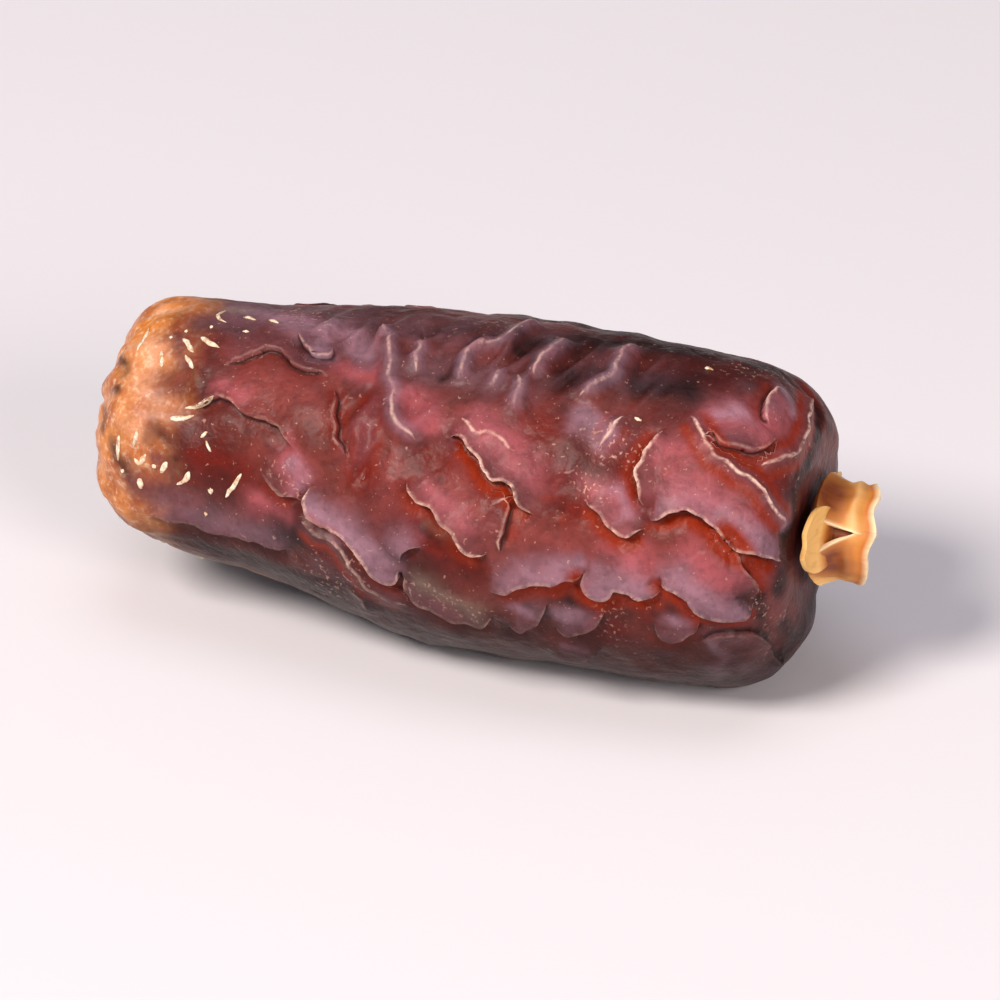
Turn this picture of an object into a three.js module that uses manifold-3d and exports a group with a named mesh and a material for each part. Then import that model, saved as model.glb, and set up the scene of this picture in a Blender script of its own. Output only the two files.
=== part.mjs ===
// One dried date lying on its side: the folded fruit and, at its stalk end, the dry calyx.
// Millimetres, +Z up. X runs along the fruit, from the blunt tip (-X) to the calyx (+X), and the fruit
// rests on a small flat spot at Z = 0.

import * as THREE from 'three';
import { mergeVertices } from 'three/addons/utils/BufferGeometryUtils.js';
import Module from 'manifold-3d';

const { degToRad, lerp, smoothstep } = THREE.MathUtils;

// Fruit
const FRUIT_LENGTH = 41.5;
const SEAT_STATION = 41.2;
const AXIS_HEIGHT = 9.0;
const AXIS_SIDE = 0.08;
const MIDDLE_STATION = 22.47;
const BELLY_BEND = 0.2;
const TIP_RISE = 0.9;
const NUB_HEIGHT = 0.3;
const NUB_RADIUS = 0.5;
const SKIN_ROWS = 83;
const SKIN_COLUMNS = 72;

// Calyx
const CALYX_HEIGHT = 3.6;
const CALYX_OFFSET = 0.4;
const CALYX_GAP = 0.35;
const SEPAL_THICKNESS = 0.6;
const PETAL_THICKNESS = 0.45;
const RIM_RADIUS = 2.85;
const RIM_DIP = 0.22;
const WAIST_RADIUS = 2.65;
const SEPAL_FOOT_RADIUS = 3.1;
const SEPAL_RIM_SPREAD = degToRad(62);
const HOLLOW_DEPTH = 0.25;

// Leaves of the calyx: where each stands around it; for a sepal, how far its foot spreads to each side and
// where its hollow lies, along from the rim and to the side; for a petal, how far out its tip reaches.
const SEPALS = [
  { middle: degToRad(60), footSpread: degToRad(52), hollow: [0.8, -0.3] },
  { middle: degToRad(180), footSpread: degToRad(42), hollow: [0.65, 0] },
  { middle: degToRad(300), footSpread: degToRad(28), hollow: [0.7, 0.1] },
];
const PETALS = [
  { middle: degToRad(-15), tipRadius: 4.8 },
  { middle: degToRad(120), tipRadius: 3.4 },
  { middle: degToRad(240), tipRadius: 3.4 },
];

// The folds are traced square to this side of the fruit: it is turned and tipped towards the eye.
const VIEW_TURN = degToRad(17.5);
const VIEW_RISE = degToRad(29);
const LEAN = Math.asin(Math.sin(VIEW_TURN) * Math.cos(VIEW_RISE));
const FACING = Math.atan2(Math.sin(VIEW_RISE), Math.cos(VIEW_TURN) * Math.cos(VIEW_RISE));
const TRACE_START = 0.9;

// Half outline of the fruit: station along its axis from the tip, and radius.
const PROFILE = new THREE.SplineCurve([
  [0, 0], [0.15, 2.2], [0.55, 4.2], [1.3, 5.6], [2.4, 6.55], [4, 7.1], [7, 7.45], [10, 7.85], [15, 8.7],
  [20, 9.35], [25, 9.5], [30, 9.4], [35, 9.2], [38, 8.9], [39.6, 8.2], [40.7, 7], [41.3, 5.8],
  [FRUIT_LENGTH, 4.7], [FRUIT_LENGTH - 0.1, 3.6], [SEAT_STATION + 0.05, 2.4], [SEAT_STATION, 1.2],
  [SEAT_STATION, 0],
].map(([station, radius]) => new THREE.Vector2(station, radius)));

// Slow swellings of the flesh: waves around, waves along, phase and height.
const SWELLINGS = [
  { around: 2, along: 0.5, phase: 0.4, height: 0.14 },
  { around: 3, along: 1.6, phase: 2.1, height: 0.12 },
  { around: 5, along: 2.7, phase: 4.0, height: 0.08 },
];

// Shape of a fold's section. Along a lip the skin on the left of the trace stands proud above a crease.
const LIP_REACH = 2.2;
const CREASE_REACH = 0.8;
const CREASE_SHARE = 0.75;
const LIP_STEP = 0.3;
const RIDGE_REACH = 0.4;
const PLEAT_REACH = 0.6;
const GROOVE_REACH = 0.45;
const FADE_LENGTH = 0.9;
const FOLD_LIMIT = 0.9;
const RIDGE_FOOT = 0.5;
const NET_REACH = 1.3;
const EVENING_PASSES = 6;

const BACK_TURN = degToRad(150);
const UNDER_TURN = degToRad(125);
const HIDDEN_SHARE = 0.8;
const HIDDEN_FADE = [36.5, 39.2];

// Folds: height in millimetres, and points in millimetres along the fruit and up across it.
const LIPS = [
  [0.55, [[18.1, -0.1], [19.2, -1.1], [20, -1.6], [21.1, -2.6], [21.8, -3.2], [22.6, -3.6], [23.4, -3.5]]],
  [0.45, [[19.8, 2.2], [20.8, 2.5], [21.9, 1.5], [22.7, 0.5], [23.9, 0.5], [24.6, -0.7], [25.6, -1.3]]],
  [0.5, [[12.9, -1.2], [13, -2.9], [14.5, -3.4], [16, -4.3], [17.2, -5.6], [18.3, -5.8], [18.4, -5]]],
  [0.35, [[18.4, -5], [18.5, -4], [19.3, -3.7], [19.8, -3.9]]],
  [0.4, [[18.6, -5.2], [19, -6.2], [20.8, -7], [22.7, -7.3], [23.6, -7.3], [24, -6.6]]],
  [0.4, [[23.4, -5.4], [24.5, -5.3], [26.3, -4.6], [28.4, -4.1], [28.6, -3.7]]],
  [0.5, [[28.7, -3.5], [28.9, -4.6], [29.5, -5], [30.3, -4.4], [31.7, -4.7], [32.6, -4.4], [32.7, -4]]],
  [0.5, [[32.7, -3.2], [33, -3.9], [34.5, -4.3], [35.5, -5.2], [37.1, -5], [38.1, -4]]],
  [0.4, [[38.1, -4], [37.3, -2.5], [36.2, -1.2], [34.7, -0.4]]],
  [0.55, [[31.4, 0], [31.9, -0.3], [33.4, 0.4], [34.9, 0], [36.2, -1], [38.4, -1.5], [39.5, -1.3]]],
  [0.5, [[31.9, 4.8], [31.1, 3.3], [30.75, 1.9], [31.2, 0.4], [31.4, 0]]],
  [0.3, [[34.2, 5.2], [35.5, 4.3], [37, 4.4], [38, 5.1]]],
  [0.35, [[37.9, 8], [37.2, 6.8], [37.4, 5.4]]],
  [0.45, [[27.7, 0.2], [28.9, -0.4], [30.5, -1.5], [31.6, -0.8]]],
  [0.35, [[9.8, -0.8], [10.9, -1.6], [12.1, -2.2], [12.6, -2.6]]],
  [0.35, [[6.9, 4.3], [8.3, 5.2], [9.5, 5.8], [10.7, 5.4], [12, 4.9], [13, 4.8]]],
  [0.35, [[5.1, 1.8], [6.6, 2.7], [8, 2.5], [10, 1.9], [11.4, 0.8], [11.8, 0.1]]],
  [0.35, [[14.8, 0.2], [13.9, 1.6], [13.5, 3.5], [13.4, 4.3]]],
  [0.22, [[40.3, -6.4], [38.8, -5.9], [36.3, -6.3], [35.3, -6.9]]],
  [0.25, [[10.7, 7], [11.3, 6.3], [12.1, 5.7], [12.8, 5.9], [13, 6.6]]],
  [0.3, [[3.8, -4.2], [7, -4.5], [10, -4.8], [12.5, -5.1]]],
];
const RIDGES = [
  [0.2, [[20.1, 3.7], [21.5, 3], [23.3, 2.4], [24, 2.1]]],
  [0.4, [[32.8, 5.8], [34.8, 3.6], [36.9, 2.5], [38.9, 0.7], [40, -0.1]]],
  [0.4, [[37.1, 3.1], [38.3, 4], [39.3, 5], [39.7, 6.3]]],
  [0.35, [[29.7, 5.2], [28.9, 4.4], [28.1, 2.8]]],
  [0.25, [[26.2, 1.2], [27, 1.4], [27.5, 1.9]]],
  [0.35, [[12.2, -3.2], [14.6, -4.2], [16, -5.8], [17.2, -6.7], [19.5, -7.2]]],
  [0.2, [[13.6, -5.7], [14.4, -6.5]]],
  [0.2, [[15.4, -6.6], [16.6, -7.3], [17.1, -8.2]]],
];
const PLEATS = [
  [0.6, [[15.4, 8.2], [16, 6.8], [16.3, 5.2], [16.8, 3.2], [18.6, 1.7]]],
  [0.5, [[17.7, 8], [17.7, 7], [17.6, 5.5]]],
  [0.75, [[20.4, 5.4], [20.3, 6.7], [22, 8.1], [24.4, 9.4]]],
  [0.65, [[25.5, 8.8], [24.4, 7.1], [24.3, 6]]],
  [0.65, [[23.3, 6.7], [23.5, 5.5], [23.3, 4.1]]],
  [0.5, [[22.3, 7], [22, 5.2]]],
  [0.6, [[26.6, 5.4], [27.9, 6.5], [29.9, 8.9]]],
];
const GROOVES = [
  [0.35, [[25.6, -1.3], [26.6, -0.5], [27, 0.1]]],
  [0.25, [[13.9, 4.2], [14.9, 4.4], [16, 4.6]]],
  [0.25, [[15.4, 3], [15.7, 1], [15.6, -1]]],
  [0.4, [[19.8, 7.3], [21.4, 8.4], [22.5, 9.1]]],
  [0.2, [[4.4, -2.7], [6, -2.9], [7.6, -3]]],
  [0.25, [[38.4, 8.6], [39.9, 7.4], [40.6, 5.6]]],
  [0.3, [[24.2, -6.9], [25.5, -7.2], [26.5, -6.6], [26.6, -5.8]]],
  [0.3, [[27, -6.9], [28.5, -6.9], [29.8, -6.7], [32.6, -6.9]]],
];

const across = (angle) => new THREE.Vector3(0, -Math.cos(angle), Math.sin(angle));
const PICTURE_UP = across(FACING + Math.PI / 2);

// Middle of the fruit's section at a station: the tip end rises a little.
function middleAt(station) {
  const rise = BELLY_BEND + TIP_RISE * (1 - smoothstep(station, 8, 22));
  return new THREE.Vector3(station - MIDDLE_STATION, AXIS_SIDE, AXIS_HEIGHT)
    .addScaledVector(PICTURE_UP, rise);
}

const TIP = middleAt(0);

// Place and outward direction on the smooth skin, at a share of the half outline and an angle around it.
function smoothSkin(share, angle) {
  const { x: station, y: radius } = PROFILE.getPointAt(share);
  const slope = PROFILE.getTangentAt(share);
  return {
    station,
    place: middleAt(station).addScaledVector(across(angle), radius),
    outward: across(angle).multiplyScalar(slope.x).add(new THREE.Vector3(-slope.y, 0, 0)).normalize(),
  };
}

const OUTLINE_SAMPLES = PROFILE.getSpacedPoints(400);

function radiusAt(station) {
  const next = OUTLINE_SAMPLES.findIndex((sample) => sample.x >= station);
  const [from, to] = [OUTLINE_SAMPLES[Math.max(next, 1) - 1], OUTLINE_SAMPLES[Math.max(next, 1)]];
  return lerp(from.y, to.y, (station - from.x) / (to.x - from.x));
}

// Station of the fruit's stalk end at a distance from the axis.
function endStationAt(radius) {
  return OUTLINE_SAMPLES.findLast((sample) => sample.y >= radius).x;
}

// Station and angle of a traced point.
function stationAndAngle([along, up]) {
  let station = along;
  let turn = 0;
  for (let pass = 0; pass < 12; pass += 1) {
    const radius = radiusAt(station);
    const rise = up - middleAt(station).sub(middleAt(FRUIT_LENGTH)).dot(PICTURE_UP) - BELLY_BEND;
    turn = Math.asin(THREE.MathUtils.clamp(rise / radius, -0.999, 0.999));
    station = (along + radius * Math.cos(turn) * Math.sin(LEAN)) / Math.cos(LEAN) - TRACE_START;
    station = THREE.MathUtils.clamp(station, 0.2, FRUIT_LENGTH - 0.2);
  }
  return [station, FACING + turn];
}

// The same fold further round the fruit, end for end, and a little out of step.
function backSide([station, angle]) {
  const wander = 0.08 * Math.sin(0.3 * station + 1);
  return [FRUIT_LENGTH - station + 0.7 * Math.sin(3 * angle), angle + BACK_TURN + wander];
}

// The same fold mirrored onto the underside, and a little out of step.
function underside([station, angle]) {
  const wander = 0.08 * Math.sin(0.25 * station + 3);
  return [station + 0.9 * Math.sin(2 * angle), 2 * FACING - UNDER_TURN - angle + wander];
}

// A fold on the skin: its smoothed line, and beside each point the direction of the proud side.
function makeFold(form, height, places, hidden = false) {
  const points = places.map(([station, angle]) => middleAt(station)
    .addScaledVector(across(angle), radiusAt(station)));
  const curve = new THREE.CatmullRomCurve3(points);
  const count = Math.ceil(curve.getLength() / 0.5);
  const line = curve.getSpacedPoints(count);
  const proudSide = line.map((point, index) => {
    const travel = curve.getTangentAt(index / count);
    const outward = point.clone().sub(middleAt(point.x + MIDDLE_STATION));
    return outward.cross(travel).normalize();
  });
  const bounds = new THREE.Box3().setFromPoints(line).expandByScalar(2.2 * LIP_REACH);
  return { form, height, line, proudSide, length: curve.getLength(), bounds, hidden };
}

function foldsOf(form, traces) {
  return traces.flatMap(([height, trace]) => {
    const places = trace.map(stationAndAngle);
    return [
      makeFold(form, height, places),
      makeFold(form, HIDDEN_SHARE * height, places.map(backSide).reverse(), true),
      makeFold(form, HIDDEN_SHARE * height, places.map(underside).reverse(), true),
    ];
  });
}

const FOLDS = [
  ...foldsOf('lip', LIPS),
  ...foldsOf('ridge', RIDGES),
  ...foldsOf('pleat', PLEATS),
  ...foldsOf('groove', GROOVES),
];

// Signed distance from a place on the skin to a fold, positive on its proud side, and the fold's point there.
function nearestOn(fold, place) {
  let best = { distance: Infinity };
  const link = new THREE.Line3();
  for (let index = 1; index < fold.line.length; index += 1) {
    link.set(fold.line[index - 1], fold.line[index]);
    const share = link.closestPointToPointParameter(place, true);
    const point = link.at(share, new THREE.Vector3());
    const distance = point.distanceTo(place);
    if (distance < best.distance) best = { distance, point, index, share };
  }
  const { distance, point, index, share } = best;
  const side = fold.proudSide[index - 1].clone().lerp(fold.proudSide[index], share);
  const sign = place.clone().sub(point).dot(side) < 0 ? -1 : 1;
  const along = (fold.length * (index - 1 + share)) / (fold.line.length - 1);
  const toEnd = Math.min(along, fold.length - along);
  const shown = fold.hidden ? 1 - smoothstep(place.x + MIDDLE_STATION, ...HIDDEN_FADE) : 1;
  const strength = shown * smoothstep(toEnd, -0.01, FADE_LENGTH);
  return { fold, point, side, gap: sign * distance, strength };
}

const bell = (distance, reach) => Math.exp(-((distance / reach) ** 2));

function foldHeight(fold, gap) {
  if (fold.form === 'ridge') return fold.height * bell(gap, RIDGE_REACH);
  if (fold.form === 'pleat') return fold.height * bell(gap, PLEAT_REACH);
  if (fold.form === 'groove') return -fold.height * bell(gap, GROOVE_REACH);
  const raised = smoothstep(gap, -LIP_STEP, 0);
  const proud = fold.height * bell(Math.max(gap, 0), LIP_REACH);
  const sunk = -CREASE_SHARE * fold.height * bell(Math.min(gap + LIP_STEP, 0), CREASE_REACH);
  return lerp(sunk, proud, raised);
}

const swellingAt = (station, angle) => SWELLINGS.reduce((sum, { around, along, phase, height }) => (
  sum + height * Math.sin(around * angle + (2 * Math.PI * along * station) / FRUIT_LENGTH + phase)
), 0);

// Pulls the net of skin points onto a fold, so that its edge runs clean. Where a link of the net crosses it,
// the link's nearer end moves onto the fold's line, and the points next to it close up beside the edge.
function drawNetOnto(fold, skin, links) {
  const readings = skin.map(({ place, hold }) => (
    !hold && fold.bounds.containsPoint(place) ? nearestOn(fold, place) : null));
  const inReach = (index) => readings[index] && readings[index].strength > 0.25
    && Math.abs(readings[index].gap) < NET_REACH;
  const crosses = (from, to) => inReach(to) && readings[from].gap * readings[to].gap < 0;
  const nearestFirst = [...skin.keys()].filter(inReach)
    .sort((a, b) => Math.abs(readings[a].gap) - Math.abs(readings[b].gap));
  const crest = nearestFirst.filter((index) => {
    const onLine = [...links[index]].some((other) => crosses(index, other));
    if (onLine) readings[index].gap = 0;
    return onLine;
  });
  crest.forEach((index) => {
    skin[index].place = readings[index].point;
    skin[index].hold = { fold, gap: 0 };
  });
  const beside = new Set(crest.flatMap((index) => [...links[index]]).filter((index) => (
    inReach(index) && !skin[index].hold && (fold.form !== 'lip' || readings[index].gap < 0))));
  beside.forEach((index) => {
    const { point, side, gap } = readings[index];
    const foot = fold.form === 'lip' ? -LIP_STEP : Math.sign(gap) * RIDGE_FOOT;
    skin[index].place = point.clone().addScaledVector(side.clone().normalize(), foot);
    skin[index].hold = { fold, gap: foot };
  });
}

// Evens out the net between the folds, sliding its free points along the smooth skin.
function evenOut(skin, links) {
  const free = [...skin.keys()].filter((index) => (
    !skin[index].hold && skin[index].station > 2 && skin[index].station < 40));
  for (let pass = 0; pass < EVENING_PASSES; pass += 1) {
    free.forEach((index) => {
      const others = [...links[index]];
      const mean = others.reduce((sum, other) => sum.add(skin[other].place), new THREE.Vector3())
        .divideScalar(others.length);
      const station = mean.x + MIDDLE_STATION;
      const { y, z } = mean.sub(middleAt(station));
      skin[index].place = middleAt(station).addScaledVector(across(Math.atan2(z, -y)), radiusAt(station));
    });
  }
}

function foldedPoint({ place, outward, hold }) {
  const folds = FOLDS.filter((fold) => fold.bounds.containsPoint(place)).reduce((sum, fold) => {
    const { gap, strength } = nearestOn(fold, place);
    return sum + strength * foldHeight(fold, hold?.fold === fold ? hold.gap : gap);
  }, 0);
  const station = place.x + MIDDLE_STATION;
  const { y, z } = place.clone().sub(middleAt(station));
  const fromTip = place.distanceTo(TIP);
  const clear = smoothstep(place.z, 0, 1.2) * smoothstep(fromTip, 1, 4)
    * smoothstep(place.distanceTo(CALYX_SEAT), 4, 5.6);
  const limited = FOLD_LIMIT * Math.tanh(folds / FOLD_LIMIT);
  const relief = clear * (limited + swellingAt(station, Math.atan2(z, -y)));
  const point = place.clone().addScaledVector(outward, relief + NUB_HEIGHT * bell(fromTip, NUB_RADIUS));
  point.z = Math.max(point.z, 0);
  return point;
}

// A geometry as a closed net of shared points.
function closedNet(geometry) {
  geometry.deleteAttribute('normal');
  geometry.deleteAttribute('uv');
  return mergeVertices(geometry, 1e-5);
}

function pointsOf(geometry) {
  const position = geometry.getAttribute('position');
  return Array.from({ length: position.count }, (_, index) => (
    new THREE.Vector3().fromBufferAttribute(position, index)));
}

function withPoints(geometry, points) {
  geometry.setFromPoints(points);
  geometry.computeVertexNormals();
  return geometry;
}

// Each point's neighbours in the net.
function linksOf(geometry) {
  const links = pointsOf(geometry).map(() => new Set());
  const corners = geometry.index.array;
  for (let start = 0; start < corners.length; start += 3) {
    const triangle = corners.slice(start, start + 3);
    triangle.forEach((from) => triangle.forEach((to) => from !== to && links[from].add(to)));
  }
  return links;
}

// The calyx leans a little away from the fruit's axis, along the picture's level.
const EYEWARD = new THREE.Vector3(Math.sin(LEAN), 0, 0).addScaledVector(across(FACING), Math.cos(LEAN));
const CALYX_AXIS = new THREE.Vector3(Math.cos(LEAN), 0, 0).addScaledVector(across(FACING), -Math.sin(LEAN));
const CALYX_SEAT = middleAt(SEAT_STATION).addScaledVector(PICTURE_UP, CALYX_OFFSET);

function calyxPoint(height, radius, angle) {
  return CALYX_SEAT.clone()
    .addScaledVector(CALYX_AXIS, height)
    .addScaledVector(EYEWARD, radius * Math.cos(angle))
    .addScaledVector(PICTURE_UP, radius * Math.sin(angle));
}

// Height, along the calyx's axis, at which a point at this radius and angle just clears the fruit's end.
function clearance(radius, angle) {
  const eyeward = radius * Math.cos(angle);
  const fromAxis = Math.hypot(eyeward * Math.cos(LEAN), radius * Math.sin(angle) + CALYX_OFFSET);
  return (CALYX_GAP + endStationAt(fromAxis) - SEAT_STATION - eyeward * Math.sin(LEAN)) / Math.cos(LEAN);
}

const wasm = await Module();
wasm.setup();

function asSolid(geometry) {
  return new wasm.Manifold(new wasm.Mesh({
    numProp: 3,
    vertProperties: new Float32Array(geometry.getAttribute('position').array),
    triVerts: new Uint32Array(geometry.index.array),
  }));
}

function asGeometry(solid) {
  const { vertProperties, triVerts } = solid.getMesh();
  const geometry = new THREE.BufferGeometry();
  geometry.setAttribute('position', new THREE.BufferAttribute(vertProperties, 3));
  geometry.setIndex(new THREE.BufferAttribute(triVerts, 1));
  geometry.computeVertexNormals();
  return geometry;
}

function makeFruit() {
  const net = closedNet(new THREE.SphereGeometry(1, SKIN_COLUMNS, SKIN_ROWS));
  const skin = pointsOf(net).map(({ x, y, z }) => (
    smoothSkin(Math.acos(THREE.MathUtils.clamp(y, -1, 1)) / Math.PI, Math.atan2(x, z))));
  const links = linksOf(net);
  const sharpFolds = FOLDS.filter(({ form }) => form !== 'groove').sort((a, b) => b.height - a.height);
  sharpFolds.forEach((fold) => drawNetOnto(fold, skin, links));
  evenOut(skin, links);
  return withPoints(net, skin.map(foldedPoint));
}

// A leaf of the calyx, bent from a slab: along runs 0 to 1 from rim to foot, side -1 to 1.
function bentLeaf(longSteps, wideSteps, thickness, bend) {
  const slab = closedNet(new THREE.BoxGeometry(1, 2, 1, longSteps, wideSteps, 1));
  return withPoints(slab, pointsOf(slab).map(({ x, y, z }) => {
    const { height, radius, angle, tilt } = bend(x + 0.5, -y);
    const depth = (0.5 - z) * thickness;
    return calyxPoint(height - depth * Math.sin(tilt), radius - depth * Math.cos(tilt), angle);
  }));
}

// An outer leaf: broad at the wavy rim, hollowed and drawn in below it, with corners at the foot.
function makeSepal({ middle, footSpread, hollow: [hollowAlong, hollowSide] }) {
  return bentLeaf(10, 12, SEPAL_THICKNESS, (along, side) => {
    const narrowing = THREE.MathUtils.clamp((along - 0.28) / 0.72, 0, 1);
    const angle = middle + side * lerp(SEPAL_RIM_SPREAD, footSpread, narrowing);
    const rimward = Math.max(1 - along / 0.5, 0);
    const footward = Math.max((along - 0.5) / 0.5, 0);
    const hollow = bell(Math.hypot((along - hollowAlong) / 0.22, (side - hollowSide) / 0.45), 1);
    const sheet = WAIST_RADIUS + (RIM_RADIUS - WAIST_RADIUS) * rimward ** 1.5
      + (SEPAL_FOOT_RADIUS - WAIST_RADIUS) * footward ** 1.6;
    const radius = sheet * (1 + 0.05 * side ** 2) - HOLLOW_DEPTH * hollow;
    const foot = clearance(radius, angle) + 0.3 + 0.25 * side ** 2;
    const rim = CALYX_HEIGHT - RIM_DIP * Math.sin(Math.PI * side) ** 2;
    return { height: lerp(rim, foot, along), radius, angle, tilt: degToRad(25 * footward - 15 * rimward) };
  });
}

// An inner leaf: it starts inside the cup and spreads over the fruit's end to a blunt point.
function makePetal({ middle, tipRadius }) {
  return bentLeaf(10, 8, PETAL_THICKNESS, (along, side) => {
    const radius = lerp(WAIST_RADIUS - 0.6, tipRadius, along);
    const spread = Math.atan((2.4 * Math.sin(Math.PI * (0.25 + 0.65 * along))) / radius);
    const angle = middle + side * spread;
    const height = clearance(radius, angle) + PETAL_THICKNESS + 0.9 * (1 - along) ** 2;
    return { height, radius, angle, tilt: degToRad(78) };
  });
}

// The cup that the leaves grow together in, with the scar of the stalk in its hollow outer end.
function makeCup() {
  const outline = [[0, 0], [2, 0], [2.1, 1.4], [2.4, 3], [1.6, 2.6], [0.9, 2.55], [0.7, 2.85], [0, 2.9]];
  const profile = outline.map(([radius, height]) => new THREE.Vector2(radius, height));
  const cup = closedNet(new THREE.LatheGeometry(profile, 24));
  return withPoints(cup, pointsOf(cup).map(({ x, y, z }) => {
    const [radius, angle] = [Math.hypot(x, z), Math.atan2(z, x)];
    return calyxPoint(lerp(clearance(radius, angle), y, smoothstep(y, 0, 1)), radius, angle);
  }));
}

function makeCalyx() {
  const leaves = [...PETALS.map(makePetal), ...SEPALS.map(makeSepal)];
  return asGeometry([makeCup(), ...leaves].map(asSolid).reduce((whole, leaf) => whole.add(leaf)));
}

function named(name, geometry, color, roughness) {
  const mesh = new THREE.Mesh(geometry, new THREE.MeshStandardMaterial({ color, roughness, metalness: 0 }));
  mesh.name = name;
  return mesh;
}

const date = new THREE.Group();
date.add(named('fruit', makeFruit(), '#8f4c46', 0.42), named('calyx', makeCalyx(), '#dca056', 0.75));
export default date;
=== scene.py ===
"""The looks of one dried date on a pale floor: its folded skin, the pale flecks at its tip and its dry calyx.

It is laid out as a Blender add-on and run as a script. Shapes are worked out in millimetres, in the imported
part's own frame, and become metres where a mesh is made.
"""

import math
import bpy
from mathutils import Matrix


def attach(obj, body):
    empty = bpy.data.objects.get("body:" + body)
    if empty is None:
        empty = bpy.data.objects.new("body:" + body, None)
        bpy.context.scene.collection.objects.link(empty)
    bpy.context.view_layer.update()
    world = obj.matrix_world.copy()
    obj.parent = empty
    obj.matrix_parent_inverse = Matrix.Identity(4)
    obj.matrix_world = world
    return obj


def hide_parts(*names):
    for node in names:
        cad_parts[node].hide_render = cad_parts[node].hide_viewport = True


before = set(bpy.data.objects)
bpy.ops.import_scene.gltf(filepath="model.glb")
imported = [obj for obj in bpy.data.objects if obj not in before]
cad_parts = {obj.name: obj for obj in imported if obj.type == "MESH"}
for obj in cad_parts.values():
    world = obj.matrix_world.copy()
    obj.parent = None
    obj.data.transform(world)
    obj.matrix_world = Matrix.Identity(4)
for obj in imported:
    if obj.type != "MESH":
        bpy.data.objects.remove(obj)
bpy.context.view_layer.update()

from types import SimpleNamespace

import bpy
import numpy as np
from mathutils import Vector, noise

bl_info = {
    "name": "Dried date",
    "version": (1, 0, 0),
    "blender": (4, 5, 0),
    "location": "3D View > Sidebar > Date",
    "description": "Builds the skin, tip flecks and calyx of a dried date around its packed solids",
    "category": "Object",
}

MM = 0.001

# Fruit, in the part's own sizes
FRUIT_LENGTH = 41.5
SEAT_STATION = 41.2
AXIS_HEIGHT = 9.0
AXIS_SIDE = 0.08
MIDDLE_STATION = 22.47
BELLY_BEND = 0.2
TIP_RISE = 0.9
TIP_RISE_STATIONS = (8, 22)
NUB_HEIGHT = 0.3
NUB_RADIUS = 0.5
PROFILE = [
    (0, 0), (0.15, 2.2), (0.55, 4.2), (1.3, 5.6), (2.4, 6.55), (4, 7.1), (7, 7.45), (10, 7.85), (15, 8.7),
    (20, 9.35), (25, 9.5), (30, 9.4), (35, 9.2), (38, 8.9), (39.6, 8.2), (40.7, 7), (41.3, 5.8),
    (FRUIT_LENGTH, 4.7), (FRUIT_LENGTH - 0.1, 3.6), (SEAT_STATION + 0.05, 2.4), (SEAT_STATION, 1.2),
    (SEAT_STATION, 0),
]
OUTLINE_SPACING = 0.05

# The side of the fruit that the folds are traced on: how far it is turned and tipped towards the eye
VIEW_TURN = math.radians(17.5)
VIEW_RISE = math.radians(29)
LEAN = math.asin(math.sin(VIEW_TURN) * math.cos(VIEW_RISE))
FACING = math.atan2(math.sin(VIEW_RISE), math.cos(VIEW_TURN) * math.cos(VIEW_RISE))
TRACE_START = 0.9

# The traced folds are repeated on the back and on the underside, this far round the fruit, and wander a
# little round it and along it, out of step with the traced ones. A repeat is a little lower and overhangs
# less. It is weak at the tip, grows between two stations there, and dies out between two more towards the
# calyx. It also dies out before the outline that the eye sees: skin facing straight away from the eye counts
# as -1, and skin on the outline as 0.
BACK_TURN = math.radians(150)
UNDER_TURN = math.radians(125)
HIDDEN_WANDER = 0.08
BACK_SHIFT = 0.7
UNDER_SHIFT = 0.9
HIDDEN_SHARE = 0.8
HIDDEN_OVERHANG = 0.4
HIDDEN_RIM = 0.6
HIDDEN_TIP_SHARE = 0.3
HIDDEN_RISE = (2.5, 7)
HIDDEN_FADE = (36.5, 39.2)
HIDDEN_FROM = (-0.22, -0.01)

# Calyx, in the part's own sizes. Places and reaches on a leaf are shares, along it from its rim to its foot
# and to the side from its middle. The cup's outline runs from the middle of its foot, as radius and height.
CALYX_HEIGHT = 3.6
CALYX_OFFSET = 0.4
CALYX_GAP = 0.35
RIM_RADIUS = 2.85
RIM_DIP = 0.22
RIM_WAVE = 0.05
WAIST_RADIUS = 2.65
SEPAL_FOOT_RADIUS = 3.1
SEPAL_RIM_SPREAD = 62
SEPAL_LIFT = 0.3
SEPAL_CORNER_LIFT = 0.25
SEPAL_FLARE = 0.05
NARROWING_PLACE = 0.28
WAIST_PLACE = 0.5
COLLAR_PLACE, COLLAR_REACH, COLLAR_HEIGHT = 0.36, 0.1, 0.14
COLLAR_EDGE_REACH, COLLAR_EDGE_SHARE = 0.06, 0.15
NECK_PLACE, NECK_REACH, NECK_DEPTH = 0.16, 0.08, 0.08
HOLLOW_REACH, HOLLOW_DEPTH = (0.22, 0.45), 0.25
HOLLOW_SHADE_REACH = (0.38, 0.7)
FREE_SIDES, FREE_BELOW_RIM = (0.93, 0.99), (0.2, 0.34)
LEAF_WAVE = 0.04
LEAF_CRUMPLE = 0.02
CUP_WAVE = 0.03
PETAL_INSET = 0.35
PETAL_HALF_WIDTH = 2.4
PETAL_LIFT = 0.45
PETAL_RISE = 1.1
CUP_OUTLINE = [(0, 0), (2, 0), (2.1, 1.4), (2.4, 3), (1.6, 2.6), (0.9, 2.55), (0.7, 2.85), (0, 2.9)]

# Leaves of the calyx, in degrees and millimetres: for an outer one its middle, half spread of its foot, place
# of its hollow along and to the side, and how proud its collar is; for an inner one its middle and reach
SEPALS = [(60, 52, 0.8, -0.3, 1), (180, 42, 0.65, 0, 0.8), (300, 28, 0.62, 0.3, 0.25)]
PETALS = [(-15, 4.8), (120, 3.4), (240, 3.4)]

# Slow swellings of the flesh: waves around, waves along, phase and height
SWELLINGS = [(2, 0.5, 0.4, 0.14), (3, 1.6, 2.1, 0.12), (5, 2.7, 4.0, 0.08)]

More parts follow.
